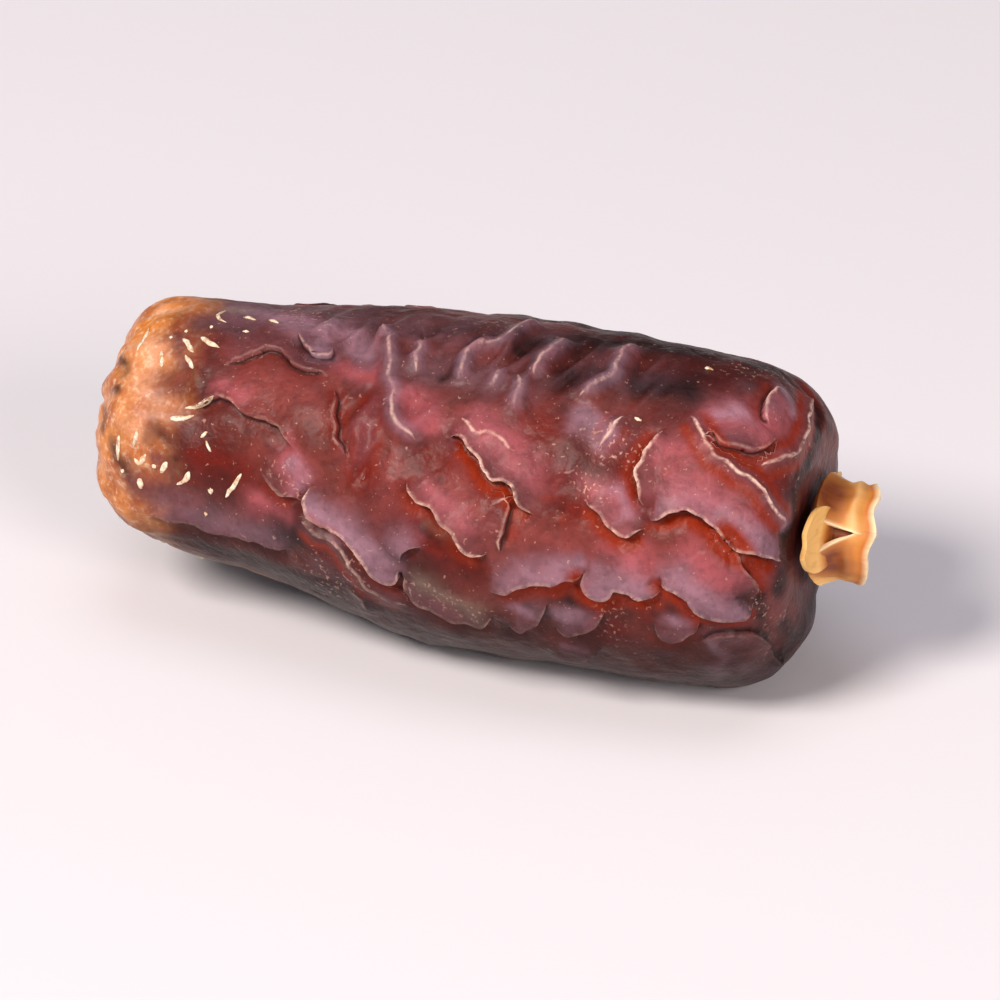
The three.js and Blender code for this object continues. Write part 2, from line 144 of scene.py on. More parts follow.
# Finer relief, from smooth noise with features of these sizes. A squeeze along and across the fruit before
# the noise is read draws them out. Wrinkles and pleats run where the noise is within this width of 0. Pleats
# cross the fruit with a slant, and the skin between them sinks by a share of their height. The noise for the
# puckers is read round a circle of this radius, so that they run towards the end of the tip, and they fade
# between two stations.
LUMP_SIZE, LUMP_HEIGHT = 2.6, 0.16
GRAIN_SIZE, GRAIN_HEIGHT = 0.8, 0.015
WRINKLE_SIZE, WRINKLE_WIDTH, WRINKLE_DEPTH = 1.5, 0.07, 0.03
WRINKLE_SQUEEZE = (0.6, 1, 1)
PLEATS_SIZE, PLEATS_WIDTH, PLEATS_HEIGHT = 2.2, 0.3, 0.4
PLEATS_SQUEEZE = (1.5, 0.45, 0.45)
PLEATS_SLANT = 0.5
PLEATS_SINK = 0.4
PUCKER_SIZE, PUCKER_HEIGHT = 1.3, 0.35
PUCKER_CIRCLE, PUCKER_SQUEEZE = 5, 0.35
PUCKER_FADE = (3.5, 9)

# The relief grows from nothing above the floor, away from the end of the tip, and away from the calyx's seat
CLEAR_OF_FLOOR = (0, 1.2)
CLEAR_OF_TIP = (1, 4)
CLEAR_OF_SEAT = (4, 5.6)

# Where the tip's thin skin ends along the fruit, how high the painted shade on the underside reaches, and
# the scar of the flower at the tip. The ends and the patches of tone wander this far, in waves of this size.
TIP_END = (2.6, 7.2)
TIP_WANDER, TIP_WANDER_SIZE = 1.6, 2.4
UNDERSIDE_SHADE_END = (2.2, 10.6)
UNDERSIDE_SHADE_WANDER, UNDERSIDE_SHADE_WANDER_SIZE = 0.8, 3
PATCH_WANDER, PATCH_WANDER_SIZE = 0.55, 1.8
SCAR_RADIUS = 0.8

# Section of a fold. Along a lip the skin on the left of the trace stands proud and overhangs a crease. A lip
# and a ridge are a broad swell for this share of their height, and a sharp rim for the rest.
LIP_REACH = 1.5
LIP_SWELL = 0.72
LIP_RIM = 0.16
LIP_OVERHANG = 0.14
CREASE_REACH = 0.75
CREASE_SHARE = 0.8
LIP_STEP = 0.14
RIDGE_REACH = 0.6
RIDGE_SWELL = 0.55
RIDGE_RIM = 0.18
PLEAT_REACH = 0.6
GROOVE_REACH = 0.4
FADE_LENGTH = 1.2
FOLD_LIMIT = 0.9
LINE_SPACING = 0.25
EDGE_WANDER = 0.22
WANDER_SIZE = 0.9
FOLD_MARGIN = 3.5

# The net's points within this reach of a fold are pulled onto it, where the fold is at least this strong
NET_REACH = 0.4
NET_STRENGTH = 0.25

# Marks beside a fold: the height of a fold whose marks are at full strength, the most that a higher one's
# come to, and for each mark how far from the edge its middle lies and how far it reaches. Skin with no fold
# near it reads as far from an edge. The pale rim and the crease's shade stay in a band beside the edge, and
# grow between two strengths of the fold.
MARK_HEIGHT = 0.45
MARK_LIMIT = 1.1
PLEAT_SHEEN_REACH = 0.45
BLOOM_AND_SHEEN_MIDDLE, BLOOM_AND_SHEEN_REACH = 0.2, 1.1
GLOW_MIDDLE, GLOW_REACH = 0.7, 0.4
CREASE_GLOW_MIDDLE, CREASE_GLOW_REACH = 0.45, 0.6
OVERHANG_REACH = 0.2
FAR_FROM_EDGE = 3.0
EDGE_BAND = 0.8
EDGE_STRENGTH = (0.1, 0.5)

# Folds: height in millimetres, how much grey bloom with a painted sheen lies along the edge, how red the
# crease glows, how pale the rim is, by its dry edge and a painted highlight, and points in millimetres along
# the fruit and up across it
LIPS = [
    (0.55, 0.15, 0.5, 1.0, [
        (18.1, -0.1), (18.6, -0.7), (19.2, -1.1), (20, -1.6), (20.5, -2.1), (21.1, -2.6), (21.8, -3.2),
        (22.6, -3.6), (23.4, -3.5),
    ]),
    (0.45, 0.1, 0.9, 1.0, [
        (19.8, 2.2), (20.3, 2.6), (20.8, 2.5), (21.3, 2), (21.9, 1.5), (22.3, 0.9), (22.7, 0.5),
        (23.2, 0.6), (23.9, 0.5), (24.2, 0), (24.6, -0.7), (25.6, -1.3),
    ]),
    (0.5, 1.0, 0.2, 0.9, [
        (12.9, -1.2), (12.9, -2.2), (13, -2.9), (13.8, -3.3), (14.5, -3.4), (15.3, -3.8), (16, -4.3),
        (16.6, -5), (17.2, -5.6), (17.8, -5.9), (18.3, -5.8), (18.4, -5),
    ]),
    (0.35, 0.9, 0.3, 0.4, [
        (18.4, -5), (18.5, -4), (19.3, -3.7), (19.8, -3.9),
    ]),
    (0.4, 0.4, 0.4, 0.5, [
        (18.6, -5.2), (19, -6.2), (19.8, -6.8), (20.8, -7), (21.8, -7.4), (22.7, -7.3), (23.6, -7.3),
        (24, -6.6),
    ]),
    (0.4, 0.9, 0.8, 0.4, [
        (23.4, -5.4), (24.5, -5.3), (25.3, -4.9), (26.3, -4.6), (27.3, -4.5), (28.4, -4.1), (28.6, -3.7),
    ]),
    (0.5, 0.9, 0.9, 0.5, [
        (28.7, -3.5), (28.6, -4.1), (28.9, -4.6), (29.5, -5), (30, -4.8), (30.3, -4.4), (31.1, -4.4),
        (31.7, -4.7), (32.2, -4.6), (32.6, -4.4), (32.7, -4),
    ]),
    (0.5, 0.8, 0.9, 0.4, [
        (32.7, -3.2), (33, -3.9), (33.9, -4.1), (34.5, -4.3), (34.9, -4.9), (35.5, -5.2), (36.3, -5.2),
        (37.1, -5), (37.7, -4.6), (38.1, -4),
    ]),
    (0.4, 0.1, 1.0, 0.3, [
        (38.1, -4), (37.9, -3.3), (37.3, -2.5), (36.8, -1.8), (36.2, -1.2), (35.5, -0.8), (34.7, -0.4),
    ]),
    (0.55, 0.5, 1.0, 0.8, [
        (31.4, 0), (31.9, -0.3), (32.6, 0.1), (33.4, 0.4), (34.2, 0.3), (34.9, 0), (35.6, -0.4),
        (36.2, -1), (36.9, -1.3), (37.6, -1.3), (38.4, -1.5), (39.2, -1.6), (39.5, -1.3),
    ]),
    (0.5, 0.1, 0.6, 1.0, [
        (31.9, 4.8), (31.5, 4), (31.1, 3.3), (30.9, 2.5), (30.75, 1.9), (31, 1.1), (31.2, 0.4),
        (31.4, 0),
    ]),
    (0.3, 0.3, 0.7, 0.3, [
        (34.2, 5.2), (34.7, 4.5), (35.5, 4.3), (36.3, 4.3), (37, 4.4), (37.5, 4.7), (38, 5.1),
    ]),
    (0.35, 0.4, 0.5, 0.8, [
        (37.9, 8), (37.4, 7.5), (37.2, 6.8), (37.2, 6), (37.4, 5.4),
    ]),
    (0.45, 0.2, 0.9, 1.0, [
        (27.7, 0.2), (28.3, 0), (28.9, -0.4), (29.4, -0.9), (29.9, -1.2), (30.5, -1.5), (31.2, -1.2),
        (31.6, -0.8),
    ]),
    (0.35, 0.1, 0.5, 0.3, [
        (9.8, -0.8), (10.3, -1.2), (10.9, -1.6), (11.5, -2), (12.1, -2.2), (12.6, -2.6),
    ]),
    (0.25, 0.3, 0.3, 0.1, [
        (6.9, 4.3), (7.6, 4.8), (8.3, 5.2), (8.9, 5.6), (9.5, 5.8), (10.1, 5.7), (10.7, 5.4), (11.3, 5),
        (12, 4.9), (13, 4.8),
    ]),
    (0.35, 0.0, 0.2, 0.25, [
        (5.1, 1.8), (6, 2.2), (6.6, 2.7), (7.1, 2.8), (8, 2.5), (8.9, 2.1), (10, 1.9), (10.9, 1.5),
        (11.4, 0.8), (11.8, 0.1),
    ]),
    (0.25, 0.0, 0.4, 0.25, [
        (14.8, 0.2), (14.3, 0.9), (13.9, 1.6), (13.7, 2.6), (13.5, 3.5), (13.4, 4.3),
    ]),
    (0.22, 0.3, 0.4, 0.2, [
        (40.3, -6.4), (39.9, -5.9), (38.8, -5.9), (37.5, -6), (36.3, -6.3), (35.3, -6.9),
    ]),
    (0.25, 1.0, 0.1, 0.4, [
        (10.7, 7), (11.3, 6.3), (12.1, 5.7), (12.8, 5.9), (13, 6.6),
    ]),
    (0.3, 0.7, 0.2, 0.2, [
        (3.8, -4.2), (5, -4.3), (7, -4.5), (9, -4.7), (10, -4.8), (12.5, -5.1),
    ]),
    (0.3, 0.1, 0.5, 0.5, [
        (23.75, -3.7), (23.7, -2.6), (23.85, -1.5), (23.95, -0.3),
    ]),
    (0.3, 0.5, 0.2, 0.25, [
        (24.6, -7), (25.3, -7.2), (26, -7), (26.5, -6.5), (26.7, -6), (26.6, -5.5),
    ]),
    (0.3, 0.5, 0.2, 0.25, [
        (27.1, -6.8), (27.8, -7), (28.6, -6.95), (29.3, -6.7), (29.8, -6.3), (30, -5.6),
    ]),
    (0.3, 0.4, 0.5, 0.25, [
        (32.8, -5.9), (33.3, -6.5), (34, -6.7), (34.6, -6.5), (35, -6), (35.2, -5.5),
    ]),
    (0.25, 0.4, 0.2, 0.2, [
        (27.3, -8), (28.2, -8.35), (29.1, -8.3), (29.8, -7.9), (30, -7.4),
    ]),
]

RIDGES = [
    (0.25, 0.0, 0.2, 1.0, [
        (24, -0.2), (23.5, -0.5), (23.1, -0.8), (22.5, -1.1),
    ]),
    (0.2, 0.2, 0.3, 0.7, [
        (20.1, 3.7), (21.5, 3), (22.5, 3), (23.3, 2.4), (24, 2.1),
    ]),
    (0.4, 0.2, 0.7, 1.0, [
        (32.8, 5.8), (33.6, 5), (34.1, 4.3), (34.8, 3.6), (35.6, 3.1), (36.9, 2.5), (37.4, 2),
        (38.1, 1.3), (38.9, 0.7), (39.6, 0.2), (40, -0.1),
    ]),
    (0.4, 0.2, 0.7, 0.9, [
        (37.1, 3.1), (37.6, 3.6), (38.3, 4), (38.9, 4.4), (39.3, 5), (39.6, 5.8), (39.7, 6.3),
    ]),
    (0.35, 0.2, 0.4, 0.9, [
        (29.7, 5.2), (28.9, 4.4), (28.5, 3.4), (28.1, 2.8),
    ]),
    (0.25, 0.2, 0.5, 0.5, [
        (26.2, 1.2), (27, 1.4), (27.5, 1.9),
    ]),
    (0.35, 0.2, 0.7, 0.5, [
        (12.2, -3.2), (13.6, -3.9), (14.6, -4.2), (15.3, -5), (16, -5.8), (17.2, -6.7), (18.4, -7),
        (19.5, -7.2),
    ]),
    (0.2, 0.2, 0.3, 0.4, [
        (13.6, -5.7), (14.4, -6.5),
    ]),
    (0.2, 0.2, 0.3, 0.5, [
        (15.4, -6.6), (16.6, -7.3), (17.1, -8.2),
    ]),
]

PLEATS = [
    (0.6, 0.6, 0.15, 0.5, [
        (15.4, 8.2), (15.9, 7.5), (16, 6.8), (16.1, 6), (16.3, 5.2), (16.6, 4.6), (16.8, 3.2),
        (17.3, 2.8), (17.9, 2.4), (18.6, 1.7),
    ]),
    (0.5, 0.6, 0.15, 0.5, [
        (17.7, 8), (17.7, 7), (17.6, 5.5),
    ]),
    (0.75, 0.6, 0.15, 0.5, [
        (20.4, 5.4), (20.2, 6.1), (20.3, 6.7), (20.6, 7.2), (21.3, 7.7), (22, 8.1), (22.7, 8.6),
        (23.5, 9.1), (24.4, 9.4),
    ]),
    (0.65, 0.6, 0.15, 0.5, [
        (25.5, 8.8), (25.3, 8.1), (24.9, 7.6), (24.4, 7.1), (24.2, 6.5), (24.3, 6),
    ]),
    (0.65, 0.6, 0.15, 0.5, [
        (23.3, 6.7), (23.5, 5.9), (23.5, 5), (23.3, 4.1),
    ]),
    (0.5, 0.6, 0.15, 0.5, [
        (22.3, 7), (22.1, 6), (22, 5.2),
    ]),
    (0.6, 0.6, 0.15, 0.5, [
        (26.6, 5.4), (27.2, 6), (27.9, 6.5), (28.6, 7.1), (29, 8.3), (29.9, 8.9),
    ]),
]

GROOVES = [
    (0.35, 0.0, 0.5, 0.0, [
        (25.6, -1.3), (26.2, -0.8), (26.6, -0.5), (27, 0.1),
    ]),
    (0.25, 0.0, 0.5, 0.0, [
        (13.9, 4.2), (14.9, 4.4), (16, 4.6),
    ]),
    (0.25, 0.0, 0.5, 0.0, [
        (15.4, 3), (15.7, 1), (15.6, -1),
    ]),
    (0.4, 0.0, 0.2, 0.0, [
        (19.8, 7.3), (21.4, 8.4), (22.5, 9.1),
    ]),
    (0.2, 0.0, 0.5, 0.0, [
        (4.4, -2.7), (6, -2.9), (7.6, -3),
    ]),
    (0.25, 0.0, 0.5, 0.0, [
        (38.4, 8.6), (39.9, 7.4), (40.6, 5.6),
    ]),
]

# Patches of tone on the skin: start and end in the traced picture, and radius. The bloom-and-sheen patches
# are the skin's own grey bloom with a painted sheen on it; amber and cream are the thin, starved skin at the
# tip.
PATCHES = {
    "mauve": [
        ((8, 8.4), (14, 8.8), 1.2), ((14.6, 8.2), (24.6, 8.8), 1.7), ((16.6, 6), (22, 6), 1.3),
        ((23.4, 5.8), (24, 5), 0.9), ((4.6, -3.4), (12, -4.4), 0.9), ((5.4, 6.8), (7.6, 6.4), 0.9),
        ((14, -6), (20, -7.6), 1.1), ((39.6, -1.6), (40.2, -2.6), 0.6), ((40, 2.6), (40.6, 0.6), 0.5),
        ((36, 7.6), (37, 7), 0.8), ((24.8, -6), (29.4, -6.2), 0.7), ((33, -6), (37.6, -6.2), 0.6),
    ],
    "rose": [
        ((33, 1.8), (36.5, 0.2), 1.7), ((32, 3.4), (33.6, 3.6), 1.2), ((34.6, -2.4), (36, -3.2), 1.5),
        ((19.4, -0.4), (22.2, -2.4), 0.5),
        ((21.4, 3.4), (25.4, 1.2), 1.2), ((28.6, 0.8), (30.2, 0), 0.9), ((34.6, 6), (37.4, 5.6), 1.3),
        ((38.2, 7), (38.4, 5.8), 0.9), ((30.4, -2.2), (31.6, -3), 1.1),
        ((37.6, -1.9), (38.4, -2.5), 0.6), ((17.6, 4.4), (18.8, 2.8), 0.9), ((7.2, 3.3), (8.2, 3), 0.7),
        ((11.2, 0.3), (12.2, -1.2), 0.8), ((13.5, 5.4), (15, 5.2), 0.7), ((10, -2.6), (11.6, -3.4), 0.8),
    ],
    "russet": [
        ((8.6, 4.2), (12.4, 3.2), 1.5), ((20.6, 0.4), (22.6, -2), 1.2), ((25, -2.2), (28.4, -2.8), 1.1),
        ((16.4, 1.6), (17.6, -1.4), 1.2), ((38.8, -3.6), (40.2, -5.4), 1.4),
    ],
    "ruddy": [
        ((13.6, 3.6), (14, 1.2), 0.5), ((15.4, 3.4), (15.8, -0.6), 1.1), ((24.6, 4.2), (26, 3), 1.1),
        ((28.8, 3.4), (30.2, 2.8), 0.9), ((19.4, -3.2), (22.6, -4.6), 0.8), ((6, -0.6), (8.8, -1), 0.9),
        ((37.6, 1.8), (39.4, 3.4), 0.8),
        ((18, -0.8), (19.4, -2.2), 0.9), ((22.2, 0), (23, -0.2), 0.5), ((33.5, 4.8), (35.4, 4), 0.5),
        ((26.2, 1), (27.6, -0.6), 0.8), ((29.6, -6.2), (31, -7), 0.9), ((19, 1), (20.4, 0.6), 0.7),
        ((30.2, 2), (30.6, 0.6), 0.5), ((12.8, -4.8), (16, -6), 0.4), ((39.8, 6), (40, 4), 0.6),
        ((32, -5.8), (35, -6), 0.6),
    ],
    "bloom_and_sheen": [
        ((14.2, -3), (17.6, -4.9), 0.9), ((7.4, 7.8), (12.4, 7.4), 1.3), ((12.2, 6.6), (12.4, 6), 0.8),
        ((13.6, 7.4), (15, 6.4), 0.8), ((25.4, -4.2), (28, -3.8), 0.7), ((29.4, -4), (32, -4), 0.7),
        ((33.4, -3.2), (36, -4.6), 0.8), ((27, 4.6), (28.6, 4), 0.8), ((35.6, 0.2), (38.4, -1), 0.9),
        ((25, -6.2), (26, -6.4), 0.5),
        ((27.4, -6.1), (29.2, -6.2), 0.4), ((36.2, -6.6), (39.4, -6.4), 0.5),
        ((33.5, -5.8), (34.4, -5.9), 0.5), ((28, -7.9), (29.3, -7.7), 0.3),
        ((37.8, 2), (39.8, 0.6), 0.4), ((38, 7.8), (38.6, 6.8), 0.5), ((29.4, 0.7), (30.4, -0.3), 0.5),
        ((34.8, 6.3), (36.2, 6), 0.6), ((11.6, -0.4), (12.4, -1.4), 0.5),
    ],
    # Dark patches: partly the skin's own darkest tone, partly painted shade along the top and the underside
    "dark": [
        ((26.4, 8.8), (37, 9), 1.6), ((26, 6.8), (33, 7), 1.2), ((19.2, 6), (20.4, 6.8), 0.4),
        ((22.8, 8.2), (24, 7.2), 0.5), ((11.4, -6.2), (17, -7.4), 1.0), ((14, -9), (40, -8.8), 1.2),
        ((40.4, 7.8), (42, 3), 0.9), ((20, -2.6), (22, -4), 0.5), ((42, 2), (42, -3), 0.8),
        ((41.8, -5), (41.6, -7), 0.6), ((8, -5.8), (11, -6.4), 0.7), ((27, -5.4), (29, -5.6), 0.4),
    ],
    "olive": [
        ((19.8, -5.8), (23.2, -6.8), 0.8), ((20.2, -2.3), (21, -2.9), 0.4), ((6.6, 7.6), (7.6, 8), 0.5),
    ],
    "amber": [
        ((1.6, 5.6), (6.2, 8), 1.3), ((0.8, 5.2), (1, -0.6), 0.7), ((0.9, -2.4), (1.4, -4), 0.8),
        # The last patch, along the lower edge, is partly the thin skin's amber, partly painted light where
        # that edge faces down
        ((4.6, 2.6), (5.4, 2), 0.6), ((7, -0.2), (8.4, -0.6), 0.4), ((2, -5.4), (11, -7.4), 1.2),
    ],
    "cream": [
        ((2.4, 3.2), (3.9, 1.6), 1.1), ((2, 5.2), (3, 4.6), 0.8), ((2.2, 0.9), (3.4, 0.2), 0.6),
        ((2.6, 7), (4.4, 7.4), 0.5),
    ],
    "umber": [
        ((1, 4.3), (1.5, 3.5), 0.45), ((1, 2.5), (1.2, 2.1), 0.3), ((3.4, 0.2), (5, -0.2), 0.5),
        ((5, -1), (5.6, 0.6), 0.5), ((1.3, -0.6), (2.2, -2.2), 0.5),
        ((0.6, 0.8), (0.6, 0), 0.4),
    ],
    "plum": [
        ((4, 5.5), (4.9, 4.4), 0.7), ((5, 6.4), (6.4, 6.8), 0.6), ((2.6, -2.6), (8, -3.6), 0.9),
        ((3.6, -1.2), (5, -2), 0.5),
    ],
    # Where the pale specks gather: partly sugary crystals, partly painted glints
    "grain": [
        ((28.4, 4.2), (30.4, 2.8), 1.0), ((10.4, 8.4), (11.8, 7.6), 0.9),
        ((11, -0.4), (12.4, -1.6), 0.5), ((14, -6), (18, -8.6), 1.2), ((30, -5.8), (31.4, -7.4), 0.7),
        ((41, -4.4), (41.8, -6), 0.5),
        ((28, 1), (28.8, 0.4), 0.6), ((19.4, -6), (23.6, -7), 0.8),
        ((35, 8.4), (38, 8.6), 0.7),
    ],
}

# Where the skin is pleated across the fruit, as patches
PLEATED = [
    ((12.6, 7.6), (30, 7.4), 2.2), ((15, 3.6), (16, -0.8), 1.3), ((17.5, 5), (19, 2.5), 1),
]

# Where the tip's thin skin runs on along the fruit, as patches
# Along the lower edge the thin skin's tone is partly painted light, bright where that edge faces down
THIN_SKIN = [((2, -5.4), (6, -6.9), 1), ((6, -6.9), (11, -7.6), 0.9)]

# Pale flecks and cracks at the tip: start, middle and end in the traced picture, and half width
FLECKS = [
    ((2.3, 6.1), (2.1, 5.4), (1.9, 4.6), 0.12), ((3.3, 4.8), (3.35, 4.4), (3.4, 4), 0.14),
    ((4.4, 5.6), (4.8, 5.25), (5.2, 4.9), 0.16), ((4.7, 4.7), (5, 4.35), (5.3, 4), 0.14),
    ((5.4, 5.8), (6, 5.5), (6.6, 5.3), 0.14), ((6.5, 7.6), (6.1, 7.1), (6.7, 6.8), 0.14),
    ((7.5, 7.4), (7.9, 7.35), (8.3, 7.3), 0.12), ((9, 7.4), (9.3, 7.35), (9.6, 7.3), 0.12),
    ((7.7, 6.4), (7.9, 6.4), (8.1, 6.4), 0.09), ((5.1, 1.8), (6, 2.2), (6.7, 2.8), 0.14),
    ((4.4, 1.1), (5, 1.2), (5.7, 1.5), 0.16), ((6.3, 0.3), (6.45, 0.5), (6.6, 0.7), 0.09),
    ((6.6, 0.2), (6.8, -0.1), (7, -0.4), 0.1), ((3.3, -1.1), (3.2, -1.4), (3.1, -1.7), 0.14),
    ((2.7, -1.4), (2.9, -1.6), (3.1, -1.8), 0.1), ((4.6, -1.3), (4.45, -1.65), (4.3, -2), 0.17),
    ((6, -1.6), (5.8, -2.1), (5.3, -2.5), 0.16), ((8.9, -1.3), (8.5, -2.1), (8.2, -2.7), 0.14),
    ((3.1, -2.5), (3.25, -2.75), (3.4, -3), 0.16), ((2.7, 0.3), (2.65, -0.2), (2.6, -0.8), 0.14),
    ((1.7, -0.2), (1.7, -0.9), (1.8, -1.7), 0.14), ((4.4, 6.1), (4.5, 6.1), (4.6, 6.1), 0.12),
    ((3.6, 5.6), (3.7, 5.6), (3.8, 5.6), 0.12), ((5.8, 6.4), (5.9, 6.4), (6, 6.4), 0.12),
    ((7.15, -2.5), (7.3, -2.5), (7.45, -2.5), 0.16), ((7.1, -3.8), (7.2, -3.8), (7.3, -3.8), 0.12),
    ((2, -2.2), (2.1, -2.2), (2.2, -2.2), 0.14), ((3.8, -1.6), (3.85, -1.7), (3.9, -1.85), 0.14),
    ((33.5, 8.3), (33.7, 8.3), (34, 8.25), 0.13), ((30, 5.1), (30.2, 5), (30.4, 4.95), 0.11),
]

# How far a fleck stands off the skin, its thickness as a share of its width, its usual width as a share of
# the stated one, and the size of the waves in its outline, in half widths
FLECK_LIFT = 0.01
FLECK_THICKNESS = 0.7
FLECK_FULLNESS = 0.9
FLECK_WAVE_SIZE = 0.8

# Flecks on the sides that the traced picture doesn't show are drawn at random within these stations, angles,
# half lengths and half widths
FLECK_STATIONS = (1.6, 9.5)
FLECK_ANGLES = (FACING + 1.7, FACING + 2 * math.pi - 1.5)
FLECK_REACH = (0.15, 0.6)
FLECK_HALF_WIDTH = (0.08, 0.16)


def bell(distance, reach):
    return np.exp(-((distance / reach) ** 2))


def smoothstep(value, low, high):
    share = np.clip((value - low) / (high - low), 0, 1)
    return share * share * (3 - 2 * share)


def noise_at(places, size, octaves=2):
    """Smooth noise from -1 to 1 at each place, with features of this size in millimetres."""
    return np.array([noise.fractal(Vector(place) / size, 1, 2, octaves) for place in places])


def smooth_line(points, spacing):
    """A smooth line through the points, as points about this far apart along it."""
    points = np.asarray(points, float)
    padded = np.vstack([2 * points[0] - points[1], points, 2 * points[-1] - points[-2]])
    t = np.linspace(0, 1, 24, endpoint=False)[:, None]
    spans = [
        b + 0.5 * t * (c - a + t * (2 * a - 5 * b + 4 * c - d + t * (3 * (b - c) + d - a)))
        for a, b, c, d in zip(padded, padded[1:], padded[2:], padded[3:])
    ]
    dense = np.vstack([*spans, points[-1:]])
    reach = np.concatenate([[0], np.cumsum(np.linalg.norm(np.diff(dense, axis=0), axis=1))])
    even = np.linspace(0, reach[-1], max(int(np.ceil(reach[-1] / spacing)), 2) + 1)
    return np.column_stack([np.interp(even, reach, column) for column in dense.T])


OUTLINE = smooth_line(PROFILE, OUTLINE_SPACING)


def across(angle):
    """Directions square to the fruit's axis, by their angle from -Y towards +Z."""
    angle = np.asarray(angle, float)
    return np.stack([np.zeros_like(angle), -np.cos(angle), np.sin(angle)], axis=-1)


PICTURE_UP = across(FACING + math.pi / 2)
EYEWARD = np.array([math.sin(LEAN), 0, 0]) + math.cos(LEAN) * across(FACING)


def middle_at(station):
    """Middle of the fruit's section at each station: the tip end rises a little."""
    station = np.asarray(station, float)
    rise = BELLY_BEND + TIP_RISE * (1 - smoothstep(station, *TIP_RISE_STATIONS))
    axis = np.stack([station - MIDDLE_STATION, np.full_like(station, AXIS_SIDE),
                     np.full_like(station, AXIS_HEIGHT)], axis=-1)
    return axis + rise[..., None] * PICTURE_UP


def radius_at(station):
    body = OUTLINE[: int(np.argmax(OUTLINE[:, 0]))]
    return np.interp(station, body[:, 0], body[:, 1])


def smooth_skin(share, angle):
    """Places and outward directions on the unfolded skin, at shares of the half outline and angles."""
    index = share * (len(OUTLINE) - 1)
    steps = np.arange(len(OUTLINE))
    slope = np.gradient(OUTLINE, axis=0)
    station, radius, along, out = (
        np.interp(index, steps, column) for column in (*OUTLINE.T, *slope.T)
    )
    outward = across(angle) * along[:, None]
    outward[:, 0] = -out
    outward /= np.linalg.norm(outward, axis=1)[:, None]
    return middle_at(station) + across(angle) * radius[:, None], outward


def station_and_angle(trace):
    """Stations and angles of points of the traced picture."""
    along, up = np.asarray(trace, float).T
    station = along.copy()
    for _ in range(12):
        radius = radius_at(station)
        rise = up - TIP_RISE * (1 - smoothstep(station, *TIP_RISE_STATIONS)) - BELLY_BEND
        turn = np.arcsin(np.clip(rise / radius, -0.999, 0.999))
        station = (along + radius * np.cos(turn) * math.sin(LEAN)) / math.cos(LEAN) - TRACE_START
        station = np.clip(station, 0.2, FRUIT_LENGTH - 0.2)
    return np.column_stack([station, FACING + turn])


def back_side(places):
    """The same places further round the fruit, end for end, and a little out of step."""
    station, angle = places.T
    wander = HIDDEN_WANDER * np.sin(0.3 * station + 1)
    shift = BACK_SHIFT * np.sin(3 * angle)
    return np.column_stack([FRUIT_LENGTH - station + shift, angle + BACK_TURN + wander])


def underside(places):
    """The same places mirrored onto the underside, and a little out of step."""
    station, angle = places.T
    wander = HIDDEN_WANDER * np.sin(0.25 * station + 3)
    shift = UNDER_SHIFT * np.sin(2 * angle)
    return np.column_stack([station + shift, 2 * FACING - UNDER_TURN - angle + wander])


def on_skin(places):
    station, angle = places.T
    return middle_at(station) + across(angle) * radius_at(station)[:, None]


def make_fold(form, height, bloom_and_sheen, glow, rim, places, hidden=False):
    """A fold on the skin: its line, and beside each point the direction of the proud side."""
    line = smooth_line(on_skin(places), LINE_SPACING)
    travel = np.gradient(line, axis=0)
    outward = line - middle_at(line[:, 0] + MIDDLE_STATION)
    side = np.cross(outward, travel)
    side /= np.maximum(np.linalg.norm(side, axis=1), 1e-9)[:, None]
    line = line + EDGE_WANDER * noise_at(line, WANDER_SIZE)[:, None] * side
    length = np.linalg.norm(np.diff(line, axis=0), axis=1).sum()
    low, high = line.min(axis=0) - FOLD_MARGIN, line.max(axis=0) + FOLD_MARGIN
    return SimpleNamespace(form=form, height=height, bloom_and_sheen=bloom_and_sheen, glow=glow, rim=rim, line=line, side=side,
                           length=length, low=low, high=high, hidden=hidden)


def folds_of(form, traces):
    folds = []
    for height, bloom_and_sheen, glow, rim, trace in traces:
        places = station_and_angle(trace)
        folds.append(make_fold(form, height, bloom_and_sheen, glow, rim, places))
        for copied in (back_side(places), underside(places)):
            folds.append(make_fold(form, HIDDEN_SHARE * height, bloom_and_sheen, glow, HIDDEN_RIM * rim, copied[::-1],
                                   hidden=True))
    return folds


FOLDS = (folds_of("lip", LIPS) + folds_of("ridge", RIDGES) + folds_of("pleat", PLEATS)
         + folds_of("groove", GROOVES))


def nearest_on(fold, places):
    """Each place's nearest point on a fold: point, side, signed gap, and strength, 0 at the fold's ends."""
    start, end = fold.line[:-1], fold.line[1:]
    step = end - start
    share = np.einsum("psk,sk->ps", places[:, None] - start, step) / (step ** 2).sum(axis=1)
    share = np.clip(share, 0, 1)
    offset = places[:, None] - (start + share[..., None] * step)
    index = np.argmin((offset ** 2).sum(axis=2), axis=1)
    rows = np.arange(len(places))
    share, offset = share[rows, index], offset[rows, index]
    side = fold.side[index] + share[:, None] * (fold.side[index + 1] - fold.side[index])
    side /= np.maximum(np.linalg.norm(side, axis=1), 1e-9)[:, None]
    sign = np.where((offset * side).sum(axis=1) < 0, -1, 1)
    along = fold.length * (index + share) / len(step)
    strength = smoothstep(np.minimum(along, fold.length - along), -0.01, FADE_LENGTH)
    if fold.hidden:
        station = places[:, 0] + MIDDLE_STATION
        strength *= 1 - smoothstep(station, *HIDDEN_FADE)
        strength *= HIDDEN_TIP_SHARE + (1 - HIDDEN_TIP_SHARE) * smoothstep(station, *HIDDEN_RISE)
        outward = places - middle_at(station)
        facing = outward @ EYEWARD / np.maximum(np.linalg.norm(outward, axis=1), 0.01)
        strength *= 1 - smoothstep(facing, *HIDDEN_FROM)
    gap = sign * np.linalg.norm(offset, axis=1)
    return SimpleNamespace(point=places - offset, side=side, gap=gap, strength=strength)


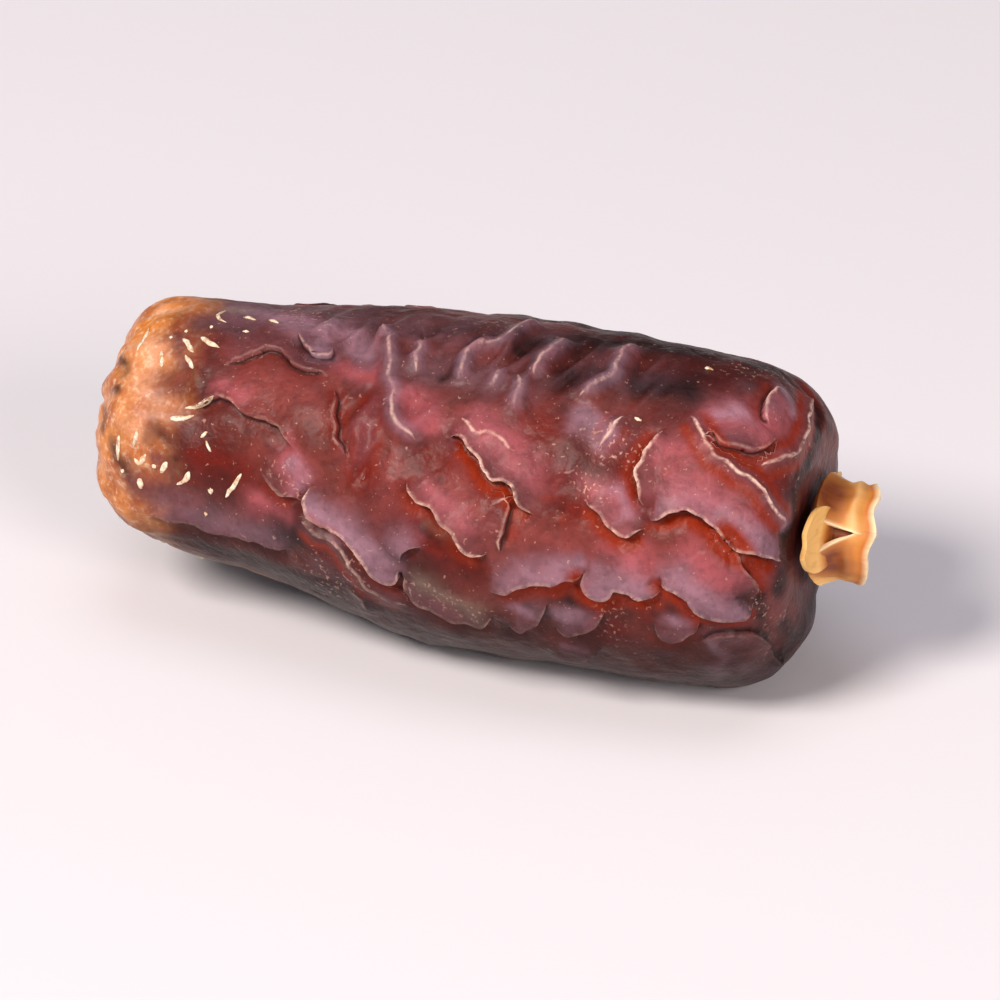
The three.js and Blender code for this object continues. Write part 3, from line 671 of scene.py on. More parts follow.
def fold_height(fold, gap):
    if fold.form == "ridge":
        swell, rim = bell(gap, RIDGE_REACH), np.exp(-np.abs(gap) / RIDGE_RIM)
        return fold.height * (RIDGE_SWELL * swell + (1 - RIDGE_SWELL) * rim)
    if fold.form == "pleat":
        return fold.height * bell(gap, PLEAT_REACH)
    if fold.form == "groove":
        return -fold.height * bell(gap, GROOVE_REACH)
    raised = smoothstep(gap, -LIP_STEP, 0)
    inward = np.maximum(gap, 0)
    swell, rim = np.exp(-inward / LIP_REACH), np.exp(-inward / LIP_RIM)
    proud = fold.height * (LIP_SWELL * swell + (1 - LIP_SWELL) * rim)
    sunk = -CREASE_SHARE * fold.height * bell(np.minimum(gap + LIP_STEP, 0), CREASE_REACH)
    return sunk + raised * (proud - sunk)


def within(fold, places):
    return np.flatnonzero(((places > fold.low) & (places < fold.high)).all(axis=1))


def draw_net_onto(number, skin, links):
    """Pulls free skin points onto a fold, so that its edge runs clean, and closes up the points below it."""
    fold = FOLDS[number]
    near = within(fold, skin.place)
    near = near[skin.hold[near] < 0]
    if not len(near):
        return
    reading = nearest_on(fold, skin.place[near])
    close = (reading.strength > NET_STRENGTH) & (np.abs(reading.gap) < NET_REACH)
    gap = dict(zip(near[close].tolist(), reading.gap[close].tolist()))
    row = dict(zip(near.tolist(), range(len(near))))
    crest = []
    for index in sorted(gap, key=lambda each: abs(gap[each])):
        if any(gap[index] * gap.get(other, 0) < 0 for other in links[index]):
            gap[index] = 0
            crest.append(index)
    beside = {other for index in crest for other in links[index]}
    beside = [index for index in beside if gap.get(index, 0) < 0] if fold.form == "lip" else []
    for index in crest + beside:
        foot = -LIP_STEP if gap[index] < 0 else 0.0
        skin.place[index] = reading.point[row[index]] + foot * reading.side[row[index]]
        skin.hold[index], skin.hold_gap[index] = number, foot


def relief(skin):
    """How far each skin point stands out, how far it slides sideways, and what lies where on the skin."""
    count = len(skin.place)
    height, slide = np.zeros(count), np.zeros((count, 3))
    edge = np.full(count, FAR_FROM_EDGE)
    marks = {name: np.zeros(count) for name in ("glow", "rim", "edge_bloom_and_sheen", "beside")}
    for number, fold in enumerate(FOLDS):
        near = within(fold, skin.place)
        if not len(near):
            continue
        reading = nearest_on(fold, skin.place[near])
        gap = np.where(skin.hold[near] == number, skin.hold_gap[near], reading.gap)
        size = min(fold.height / MARK_HEIGHT, MARK_LIMIT)
        height[near] += reading.strength * fold_height(fold, gap)
        bloom_and_sheen = bell(gap, PLEAT_SHEEN_REACH) if fold.form == "pleat" else bell(gap - BLOOM_AND_SHEEN_MIDDLE, BLOOM_AND_SHEEN_REACH)
        glow = bell(np.abs(gap) - GLOW_MIDDLE, GLOW_REACH)
        if fold.form == "lip":
            below = gap <= -0.5 * LIP_STEP
            over = LIP_OVERHANG * size * bell(gap, OVERHANG_REACH) * ~below
            if fold.hidden:
                over *= HIDDEN_OVERHANG
            slide[near] -= (reading.strength * over)[:, None] * reading.side
            glow = bell(gap + CREASE_GLOW_MIDDLE, CREASE_GLOW_REACH) * below
            bloom_and_sheen = bloom_and_sheen * ~below
        for name, mark in (("glow", fold.glow * glow), ("edge_bloom_and_sheen", fold.bloom_and_sheen * bloom_and_sheen)):
            marks[name][near] = np.maximum(marks[name][near], size * reading.strength * mark)
        distance = (gap if fold.form == "lip" else np.abs(gap)) / np.maximum(reading.strength, 0.05)
        closer = np.abs(distance) < np.abs(edge[near])
        edge[near[closer]] = distance[closer]
        marks["beside"][near[closer]] = smoothstep(reading.strength[closer], *EDGE_STRENGTH)
        marks["rim"][near[closer]] = fold.rim
    marks["edge"] = edge
    marks["beside"] *= np.abs(edge) < EDGE_BAND
    return height, slide, marks


def swelling_at(station, angle):
    return sum(
        size * np.sin(around * angle + 2 * np.pi * along * station / FRUIT_LENGTH + phase)
        for around, along, phase, size in SWELLINGS
    )


TIP = middle_at(0.0)
CALYX_SEAT = middle_at(SEAT_STATION) + CALYX_OFFSET * PICTURE_UP


def folded(skin):
    """The skin points in their folded places, in millimetres, and the marks on them.

    Each noise is read at places shifted by a number of its own, so that no two patterns agree.
    """
    height, slide, marks = relief(skin)
    station = skin.place[:, 0] + MIDDLE_STATION
    radial = skin.place - middle_at(station)
    from_tip = np.linalg.norm(skin.place - TIP, axis=1)
    from_calyx = np.linalg.norm(skin.place - CALYX_SEAT, axis=1)
    height = FOLD_LIMIT * np.tanh(height / FOLD_LIMIT)
    clear = (smoothstep(skin.place[:, 2], *CLEAR_OF_FLOOR) * smoothstep(from_tip, *CLEAR_OF_TIP)
             * smoothstep(from_calyx, *CLEAR_OF_SEAT))
    height += swelling_at(station, np.arctan2(radial[:, 2], -radial[:, 1]))
    height += LUMP_HEIGHT * noise_at(skin.place, LUMP_SIZE)
    height += GRAIN_HEIGHT * noise_at(skin.place + 40, GRAIN_SIZE)
    wrinkle = bell(noise_at(skin.place * WRINKLE_SQUEEZE + 90, WRINKLE_SIZE, 1), WRINKLE_WIDTH)
    height -= WRINKLE_DEPTH * wrinkle
    sheared = skin.place - np.outer(PLEATS_SLANT * (skin.place @ PICTURE_UP), (1, 0, 0))
    pleats = bell(noise_at(sheared * PLEATS_SQUEEZE + 60, PLEATS_SIZE, 1), PLEATS_WIDTH) - PLEATS_SINK
    pleated = patches_at(PLEATED, skin.place, back_side, underside)
    height += PLEATS_HEIGHT * pleated * pleats
    turned = radial / np.maximum(np.linalg.norm(radial, axis=1), 0.01)[:, None]
    puckers = noise_at(PUCKER_CIRCLE * turned + np.outer(PUCKER_SQUEEZE * station, (1, 0, 0)), PUCKER_SIZE)
    height += PUCKER_HEIGHT * puckers * (1 - smoothstep(station, *PUCKER_FADE))
    height = clear * height + NUB_HEIGHT * bell(from_tip, NUB_RADIUS)
    place = skin.place + height[:, None] * skin.outward + clear[:, None] * slide
    place[:, 2] = np.maximum(place[:, 2], 0)
    at_tip = 1 - smoothstep(station + TIP_WANDER * noise_at(skin.place + 7, TIP_WANDER_SIZE), *TIP_END)
    marks["tip"] = np.maximum(at_tip, patches_at(THIN_SKIN, skin.place))
    # The wrinkles' grooves, for painted shade in the skin's colour
    marks["wrinkle"] = wrinkle
    # Pleat crests, for a painted highlight in the bloom's colour
    marks["pleat"] = pleated * np.clip(pleats, 0, 1)
    # Painted shade: the skin darkens towards the floor, up to a height that wanders
    underside_shade_wander = UNDERSIDE_SHADE_WANDER * noise_at(skin.place + 3, UNDERSIDE_SHADE_WANDER_SIZE)
    marks["underside_shade"] = 1 - smoothstep(place[:, 2] + underside_shade_wander, *UNDERSIDE_SHADE_END)
    wander = np.stack([noise_at(skin.place + shift, PATCH_WANDER_SIZE) for shift in (11, 23, 37)], axis=-1)
    for name, patches in PATCHES.items():
        marks[name] = patches_at(patches, skin.place + PATCH_WANDER * wander, back_side, underside)
    marks["umber"] = np.maximum(marks["umber"], bell(from_tip, SCAR_RADIUS))
    return place, marks


def patches_at(patches, places, *repeats):
    """How strongly each place lies in one of the patches, on the traced side and where it is repeated."""
    strength = np.zeros(len(places))
    for start, end, radius in patches:
        trace = station_and_angle([start, end])
        for spots in (trace, *(repeat(trace) for repeat in repeats)):
            one, other = on_skin(spots)
            share = np.clip((places - one) @ (other - one) / max((other - one) @ (other - one), 1e-9), 0, 1)
            gap = np.linalg.norm(places - one - share[:, None] * (other - one), axis=1)
            strength = np.maximum(strength, bell(gap, radius))
    return strength


# Making meshes


def deselect_all():
    for each in bpy.context.selected_objects:
        each.select_set(False)


def points_of(piece):
    flat = np.empty(3 * len(piece.data.vertices))
    piece.data.vertices.foreach_get("co", flat)
    return flat.reshape(-1, 3)


def set_points(piece, places):
    """Puts a piece's points at these places, given in millimetres."""
    piece.data.vertices.foreach_set("co", (places * MM).ravel())
    piece.data.update()


def add_mark(piece, name, values):
    mark = piece.data.attributes.new(name, "FLOAT", "POINT")
    mark.data.foreach_set("value", np.asarray(values, np.float32))


def links_of(piece):
    """Each point's neighbours along the mesh's edges."""
    ends = np.empty(2 * len(piece.data.edges), int)
    piece.data.edges.foreach_get("vertices", ends)
    links = [[] for _ in piece.data.vertices]
    for one, other in ends.reshape(-1, 2).tolist():
        links[one].append(other)
        links[other].append(one)
    return links


def finish_piece(piece, name, material, slot, *nodes):
    """Names and shades a piece, and lets it ride on the fruit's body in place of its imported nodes."""
    piece.name = name
    piece.data.name = name
    piece.data.materials.clear()
    piece.data.materials.append(material)
    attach(piece, "root")
    if nodes:
        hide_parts(*nodes)


def make_skin(shape):
    """A sphere's net drawn over the fruit's outline, onto its folds, and folded.

    No modelling tool folds a skin along traced lines, so its points are placed by formula.
    """
    deselect_all()
    bpy.ops.mesh.primitive_uv_sphere_add(segments=shape.columns, ring_count=shape.rows, radius=1)
    piece = bpy.context.object
    bpy.ops.object.mode_set(mode="EDIT")
    bpy.ops.mesh.quads_convert_to_tris(quad_method="SHORTEST_DIAGONAL")
    bpy.ops.object.mode_set(mode="OBJECT")
    x, y, z = points_of(piece).T
    place, outward = smooth_skin(np.arccos(np.clip(z, -1, 1)) / np.pi, np.arctan2(y, x))
    skin = SimpleNamespace(place=place, outward=outward, hold=np.full(len(place), -1),
                           hold_gap=np.zeros(len(place)))
    links = links_of(piece)
    for number in sorted(range(len(FOLDS)), key=lambda each: -FOLDS[each].height):
        if FOLDS[number].form != "groove":
            draw_net_onto(number, skin, links)
    places, marks = folded(skin)
    set_points(piece, places)
    for name, values in marks.items():
        add_mark(piece, name, values)
    bpy.ops.object.shade_smooth()
    return piece


def skin_at(places):
    """Folded places of points on the skin, given as stations and angles, and their outward directions."""
    outward = across(places[:, 1])
    count = len(places)
    skin = SimpleNamespace(place=on_skin(places), outward=outward, hold=np.full(count, -1),
                           hold_gap=np.zeros(count))
    return folded(skin)[0], outward


def hidden_flecks(seed, count):
    """More flecks for the sides of the tip that the traced picture doesn't show, as stations and angles."""
    draw = np.random.default_rng(seed)
    lines = []
    for _ in range(count):
        station = draw.uniform(*FLECK_STATIONS)
        angle = draw.uniform(*FLECK_ANGLES)
        reach, turn = draw.uniform(*FLECK_REACH), draw.uniform(0, math.pi)
        bend = draw.uniform(-0.5, 0.5)
        steps = np.array([(-1, 0), (0, bend * 0.3), (1, 0)]) * reach
        along = station + steps @ (math.cos(turn), -math.sin(turn))
        around = angle + steps @ (math.sin(turn), math.cos(turn)) / float(radius_at(station))
        lines.append((np.column_stack([along, around]), draw.uniform(*FLECK_HALF_WIDTH)))
    return lines


def drawn_out(form, line, half_width):
    """A bead's points drawn out along a fleck's line: where they lie on the skin, and how far they rise."""
    width = FLECK_FULLNESS * half_width * (1 + noise_at(form + 10 * line[1, 1], FLECK_WAVE_SIZE))
    share = form[:, 2]
    middle = line[1] + 0.5 * share[:, None] * (line[2] - line[0])
    middle += 0.5 * (share ** 2)[:, None] * (line[0] + line[2] - 2 * line[1])
    travel = line[2] - line[0]
    radius = float(radius_at(line[1, 0]))
    across_line = np.array([-travel[1] * radius, travel[0] / radius])
    across_line /= math.hypot(across_line[0], across_line[1] * radius)
    return middle + (width * form[:, 0])[:, None] * across_line, FLECK_THICKNESS * width * form[:, 1]


def make_flecks(shape):
    """Slim raised flecks of pale dry flesh: one bead, copied and drawn out along each fleck's line."""
    deselect_all()
    bpy.ops.mesh.primitive_uv_sphere_add(segments=10, ring_count=8, radius=1)
    bead = bpy.context.object
    form = points_of(bead)
    lines = [(station_and_angle(fleck[:3]), fleck[3]) for fleck in FLECKS]
    lines += hidden_flecks(shape.fleck_seed, shape.hidden_flecks)
    spots, lifts = zip(*(drawn_out(form, line, half_width) for line, half_width in lines))
    places, outward = skin_at(np.vstack(spots))
    places += (np.concatenate(lifts) + FLECK_LIFT)[:, None] * outward
    for each in places.reshape(len(lines), -1, 3):
        fleck = bead.copy()
        fleck.data = bead.data.copy()
        bpy.context.collection.objects.link(fleck)
        set_points(fleck, each)
        fleck.select_set(True)
    bead.select_set(False)
    bpy.context.view_layer.objects.active = fleck
    bpy.ops.object.join()
    bpy.data.objects.remove(bead)
    bpy.ops.object.mode_set(mode="EDIT")
    bpy.ops.mesh.select_all(action="SELECT")
    bpy.ops.mesh.normals_make_consistent(inside=False)
    bpy.ops.object.mode_set(mode="OBJECT")
    bpy.ops.object.shade_smooth()
    return bpy.context.object


# Calyx

CALYX_AXIS = np.array([math.cos(LEAN), 0, 0]) - math.sin(LEAN) * across(FACING)


def calyx_points(height, radius, angle):
    return (CALYX_SEAT + height[:, None] * CALYX_AXIS + (radius * np.cos(angle))[:, None] * EYEWARD
            + (radius * np.sin(angle))[:, None] * PICTURE_UP)


def clearance(radius, angle):
    """Height along the calyx's axis at which a point at this radius and angle just clears the fruit's end."""
    eyeward = radius * np.cos(angle)
    from_axis = np.hypot(eyeward * math.cos(LEAN), radius * np.sin(angle) + CALYX_OFFSET)
    end = OUTLINE[int(np.argmax(OUTLINE[:, 1])):][::-1]
    station = np.interp(from_axis, end[:, 1], end[:, 0])
    return (CALYX_GAP + station - SEAT_STATION - eyeward * math.sin(LEAN)) / math.cos(LEAN)


def bent_leaf(name, bend, thickness):
    """A leaf of the calyx, bent from a flat grid and given its thickness: along 0 to 1 from rim to foot."""
    deselect_all()
    bpy.ops.mesh.primitive_grid_add(x_subdivisions=44, y_subdivisions=40, size=2)
    leaf = bpy.context.object
    leaf.name = name
    x, y, _ = points_of(leaf).T
    along, side = (x + 1) / 2, -y
    height, radius, angle, marks = bend(along, side)
    set_points(leaf, calyx_points(height, radius, angle))
    for mark, values in {"along": along, "side": side, **marks}.items():
        add_mark(leaf, mark, values)
    solid = leaf.modifiers.new("thickness", "SOLIDIFY")
    solid.thickness = thickness * MM
    solid.offset = -1
    edge = leaf.modifiers.new("edge", "BEVEL")
    edge.width = 0.3 * thickness * MM
    edge.segments = 2
    edge.limit_method = "ANGLE"
    for modifier in ("thickness", "edge"):
        bpy.ops.object.modifier_apply(modifier=modifier)
    bpy.ops.object.shade_smooth_by_angle(angle=math.radians(50))
    return leaf


def spot_on_leaf(along, side, reach):
    """A round spot on a leaf, by how far along and to the side of its middle each place is."""
    return bell(np.hypot(along / reach[0], side / reach[1]), 1)


def sepal_bend(middle, foot_spread, hollow_along, hollow_side, collar):
    """An outer leaf: broad at the wavy rim, hollowed and drawn in below it, with corners at the foot."""
    def bend(along, side):
        narrowing = np.clip((along - NARROWING_PLACE) / (1 - NARROWING_PLACE), 0, 1)
        spread = np.radians(SEPAL_RIM_SPREAD + narrowing * (foot_spread - SEPAL_RIM_SPREAD))
        angle = math.radians(middle) + side * spread
        rimward = np.maximum(1 - along / WAIST_PLACE, 0)
        footward = np.maximum((along - WAIST_PLACE) / (1 - WAIST_PLACE), 0)
        from_hollow = along - hollow_along, side - hollow_side
        sheet = (WAIST_RADIUS + (RIM_RADIUS - WAIST_RADIUS) * rimward ** 1.5
                 + (SEPAL_FOOT_RADIUS - WAIST_RADIUS) * footward ** 1.6)
        sheet += collar * COLLAR_HEIGHT * bell(along - COLLAR_PLACE, COLLAR_REACH)
        sheet -= collar * NECK_DEPTH * bell(along - NECK_PLACE, NECK_REACH)
        radius = sheet * (1 + SEPAL_FLARE * side ** 2)
        radius -= HOLLOW_DEPTH * spot_on_leaf(*from_hollow, HOLLOW_REACH)
        radius += LEAF_WAVE * np.sin(5 * side + 3 * along + middle)
        radius += LEAF_CRUMPLE * np.sin(17 * side + 2 * along)
        foot = clearance(radius, angle) + SEPAL_LIFT + SEPAL_CORNER_LIFT * side ** 2
        rim = CALYX_HEIGHT - RIM_DIP * np.sin(np.pi * side) ** 2 + RIM_WAVE * np.sin(9 * side + middle)
        free_edge = smoothstep(np.abs(side), *FREE_SIDES) * smoothstep(along, *FREE_BELOW_RIM)
        collar_edge = COLLAR_EDGE_SHARE * collar * bell(along - COLLAR_PLACE, COLLAR_EDGE_REACH)
        return rim + along * (foot - rim), radius, angle, {
            "hollow": spot_on_leaf(*from_hollow, HOLLOW_SHADE_REACH),
            "free_edge": np.maximum(free_edge, collar_edge)}
    return bend


def petal_bend(middle, tip_radius):
    """An inner leaf: it starts inside the cup and spreads over the fruit's end to a blunt point."""
    def bend(along, side):
        start = WAIST_RADIUS - PETAL_INSET
        radius = start + along ** 1.2 * (tip_radius - start)
        spread = np.arctan(PETAL_HALF_WIDTH * np.sin(np.pi * (0.25 + 0.65 * along)) / radius)
        angle = math.radians(middle) + side * spread
        height = clearance(radius, angle) + PETAL_LIFT + PETAL_RISE * (1 - along) ** 1.6
        height += LEAF_WAVE * np.sin(4 * side + 4 * along + middle)
        # The petal's foot inside the cup is browned as painted shade
        return height, radius, angle, {"hollow": bell(along, 0.2), "free_edge": np.zeros_like(along)}
    return bend


def make_cup():
    """The cup that the leaves grow together in, with the stalk's scar in its hollow outer end."""
    deselect_all()
    bpy.ops.mesh.primitive_uv_sphere_add(segments=64, ring_count=56, radius=1)
    cup = bpy.context.object
    line = smooth_line(CUP_OUTLINE, OUTLINE_SPACING)
    x, y, z = points_of(cup).T
    index = np.arccos(np.clip(z, -1, 1)) / np.pi * (len(line) - 1)
    radius, height = (np.interp(index, np.arange(len(line)), column) for column in line.T)
    angle = np.arctan2(y, x)
    base = clearance(radius, angle)
    height = base + smoothstep(height, 0, 1) * (height - base)
    radius = radius * (1 + CUP_WAVE * np.sin(9 * angle + 2 * height))
    set_points(cup, calyx_points(height, radius, angle))
    bpy.ops.object.mode_set(mode="EDIT")
    bpy.ops.mesh.select_all(action="SELECT")
    bpy.ops.mesh.normals_make_consistent(inside=False)
    bpy.ops.object.mode_set(mode="OBJECT")
    bpy.ops.object.shade_smooth()
    # The whole cup is browned: partly its own brown, partly painted shade deep between the leaves
    for mark, values in {"along": 0.6 + 0 * angle, "side": np.sin(3 * angle), "hollow": 1 + 0 * angle,
                         "free_edge": 0 * angle}.items():
        add_mark(cup, mark, values)
    return cup


def make_calyx(shape):
    thickness = shape.leaf_thickness / MM
    leaves = [make_cup()]
    leaves += [bent_leaf("petal", petal_bend(*petal), thickness) for petal in PETALS]
    leaves += [bent_leaf("sepal", sepal_bend(*sepal), thickness) for sepal in SEPALS]
    deselect_all()
    for leaf in leaves:
        leaf.select_set(True)
    bpy.context.view_layer.objects.active = leaves[0]
    bpy.ops.object.join()
    return bpy.context.object


# Materials


def linear(hex_colour):
    """An sRGB hex colour as linear RGBA."""
    parts = [int(hex_colour[index:index + 2], 16) / 255 for index in (1, 3, 5)]
    return (*(part / 12.92 if part <= 0.04045 else ((part + 0.055) / 1.055) ** 2.4 for part in parts), 1.0)


def add(tree, kind, inputs, output=0, stops=(), **settings):
    """Adds a node with its settings, sets or links its inputs, fills its ramp, and gives back an output."""
    node = tree.nodes.new(kind)
    for name, value in settings.items():
        setattr(node, name, value)
    for name, value in inputs.items():
        if isinstance(value, bpy.types.NodeSocket):
            tree.links.new(value, node.inputs[name])
        else:
            node.inputs[name].default_value = value
    for number, (place, colour) in enumerate(stops):
        element = node.color_ramp.elements[number] if number < 2 else node.color_ramp.elements.new(place)
        element.position = place
        element.color = colour
    return None if output is None else node.outputs[output]


def blank_material(name):
    material = bpy.data.materials.new(name)
    material.use_nodes = True
    material.node_tree.nodes.clear()
    return material


def dried_date_skin(colours):
    """Skin of a date dried on the palm: thin, leathery, and glossed by its own sugars.

    It gives the eye mauve where a dry bloom lies on it, with a painted sheen, a clear brown-red where it is
    bare, an orange-red glow in the creases, where light comes through from the flesh, and dry pale edges
    along the folds with a painted highlight on them. Painted shade darkens the feet of the creases, the
    wrinkles and the underside.
    """
    material = blank_material("Dried date skin")
    tree = material.node_tree
    place = add(tree, "ShaderNodeTexCoord", {}, "Object")
    marks = {
        name: add(tree, "ShaderNodeAttribute", {}, "Fac", attribute_name=name)
        for name in (*PATCHES, "glow", "rim", "edge_bloom_and_sheen", "edge", "beside", "tip", "wrinkle",
                     "underside_shade", "pleat")
    }
    # Blotches of 4 mm and 1.3 mm, fine mottling of 0.35 mm, and pale specks drawn at 0.24 mm, three times
    # their real size, so that they show. The specks are partly sugary crystals and partly painted glints.
    broad, cloudy, fine, speck = (
        add(tree, "ShaderNodeTexNoise", {
            "Vector": place, "Scale": 1 / (size * MM), "Detail": detail, "Distortion": distortion})
        for size, detail, distortion in ((4, 2, 0), (1.3, 3, 0.6), (0.35, 3, 0), (0.24, 1, 0.4))
    )
    blotches = {
        name: add(tree, "ShaderNodeMapRange", {
            "Value": value, "From Min": low, "From Max": high, "To Max": most})
        for name, value, low, high, most in (
            ("broad", broad, 0.35, 0.65, 1), ("cloudy", cloudy, 0.45, 0.7, 0.3),
            ("pale", cloudy, 0.35, 0.6, 1), ("fine", fine, 0.5, 0.35, 0.16),
            ("fibres", fine, 0.54, 0.68, 0.35), ("specks", speck, 0.7, 0.78, 0.4),
            ("sugar_and_glint", speck, 0.6, 0.68, 0.6), ("below", marks["edge"], -0.45, -0.14, 0.9),
            ("foot", marks["edge"], -0.08, -0.13, 1), ("lip", marks["edge"], -0.05, -0.01, 0.95),
            ("behind", marks["edge"], 0.15, 0.03, 1), ("broken", cloudy, 0.36, 0.58, 1),
            ("frayed", fine, 0.34, 0.54, 1), ("glow", marks["glow"], 0.1, 0.7, 1),
        )
    }
    # Grey bloom with a painted sheen, in patches and in bands along the fold edges
    bloom_and_sheen = add(tree, "ShaderNodeMath", {0: marks["bloom_and_sheen"], 1: marks["edge_bloom_and_sheen"]}, operation="MAXIMUM")
    products = {}
    for name, factors in (
        ("sugar_and_glint", (blotches["sugar_and_glint"], marks["grain"])),
        ("shade", (blotches["below"], blotches["foot"], marks["beside"])),
        ("uneven", (blotches["broken"], blotches["frayed"])),
        ("rim", (blotches["lip"], blotches["behind"], marks["rim"], marks["beside"])),
    ):
        products[name] = factors[0]
        for factor in factors[1:]:
            products[name] = add(tree, "ShaderNodeMath", {0: products[name], 1: factor}, operation="MULTIPLY")
    # Pale rim along each fold's edge, broken up unevenly: partly the dry thin edge's own paleness, partly a
    # painted highlight where the edge catches light
    ragged = add(tree, "ShaderNodeMapRange", {"Value": products["uneven"], "To Min": 0.15})
    rim = add(tree, "ShaderNodeMath", {0: products["rim"], 1: ragged}, operation="MULTIPLY")

    colour, tip_colour = colours.skin, colours.tip
    layers = (
        ("body", blotches["broad"], 1, colours.skin_light), ("body", marks["mauve"], 0.8, colours.mauve),
        ("body", marks["russet"], 0.8, colours.russet), ("body", marks["rose"], 0.85, colours.rose),
        ("body", marks["ruddy"], 0.8, colours.ruddy), ("body", marks["dark"], 0.93, colours.dark),
        # Bloom with its painted sheen, then a painted highlight along the pleat crests
        ("body", bloom_and_sheen, 0.75, colours.bloom_and_sheen), ("body", marks["pleat"], 0.2, colours.bloom_and_sheen),
        ("body", marks["olive"], 0.65, colours.olive), ("body", blotches["cloudy"], 1, colours.dark),
        ("tip", blotches["pale"], 1, colours.tip_light), ("tip", marks["amber"], 0.85, colours.amber),
        ("tip", marks["cream"], 0.85, colours.cream), ("tip", blotches["fibres"], 1, colours.fleck_light),
        ("tip", marks["plum"], 0.85, colours.plum), ("tip", marks["umber"], 0.9, colours.umber),
        # Painted shade: the wrinkles' grooves a little darker
        ("both", marks["wrinkle"], 0.12, colours.dark), ("both", blotches["glow"], 1, colours.glow),
        ("both", blotches["fine"], 1, colours.dark), ("both", products["sugar_and_glint"], 1, colours.sugar_and_glint),
        ("both", blotches["specks"], 1, colours.sugar_and_glint), ("both", products["shade"], 0.95, colours.shade),
        # Painted shade on the underside, darker towards the floor
        ("both", rim, 1, colours.rim), ("both", marks["underside_shade"], 0.85, colours.dark),
    )
    for where, share, strength, layer in layers:
        if where == "both" and tip_colour:
            colour = add(tree, "ShaderNodeMix", {"Factor": marks["tip"], 6: colour, 7: tip_colour}, 2,
                         data_type="RGBA")
            tip_colour = None
        share = add(tree, "ShaderNodeMath", {0: share, 1: strength}, operation="MULTIPLY", use_clamp=True)
        under = tip_colour if where == "tip" else colour
        over = add(tree, "ShaderNodeMix", {"Factor": share, 6: under, 7: layer}, 2, data_type="RGBA")
        if where == "tip":
            tip_colour = over
        else:
            colour = over

    heights = add(tree, "ShaderNodeMath", {0: fine, 1: cloudy}, operation="ADD")
    bump = add(tree, "ShaderNodeBump", {"Height": heights, "Strength": 0.45, "Distance": 0.14 * MM})
    rough = add(tree, "ShaderNodeMapRange", {
        "Value": cloudy, "From Min": 0.3, "From Max": 0.7, "To Min": 0.36, "To Max": 0.48})
    rough = add(tree, "ShaderNodeMath", {0: marks["tip"], 1: -0.1, 2: rough}, operation="MULTIPLY_ADD")
    shader = add(tree, "ShaderNodeBsdfPrincipled", {
        "Base Color": colour, "Roughness": rough, "Normal": bump,
        "Subsurface Weight": 0.12, "Subsurface Radius": (1.0, 0.35, 0.2), "Subsurface Scale": 0.6 * MM,
        "Coat Weight": 0.06, "Coat Roughness": 0.3, "IOR": 1.45, "Specular IOR Level": 0.2,
    })
    add(tree, "ShaderNodeOutputMaterial", {"Surface": shader}, None)
    return material


def dry_pale_flesh(colours):
    """Dry fibres of date flesh, bared where the tip's skin has cracked: chalky, pale and hardly glossy."""
    material = blank_material("Dry pale flesh")
    tree = material.node_tree
    place = add(tree, "ShaderNodeTexCoord", {}, "Object")
    # Uneven dryness in spots of 0.3 mm
    spots = add(tree, "ShaderNodeTexNoise", {"Vector": place, "Scale": 1 / (0.3 * MM), "Detail": 2})
    colour = add(tree, "ShaderNodeValToRGB", {"Fac": spots}, stops=(
        (0.3, colours.fleck_dark), (0.6, colours.fleck_light)))
    shader = add(tree, "ShaderNodeBsdfPrincipled", {
        "Base Color": colour, "Roughness": 0.55, "Subsurface Weight": 0.15,
        "Subsurface Radius": (1.0, 0.6, 0.4), "Subsurface Scale": 0.4 * MM,
    })
    add(tree, "ShaderNodeOutputMaterial", {"Surface": shader}, None)
    return material


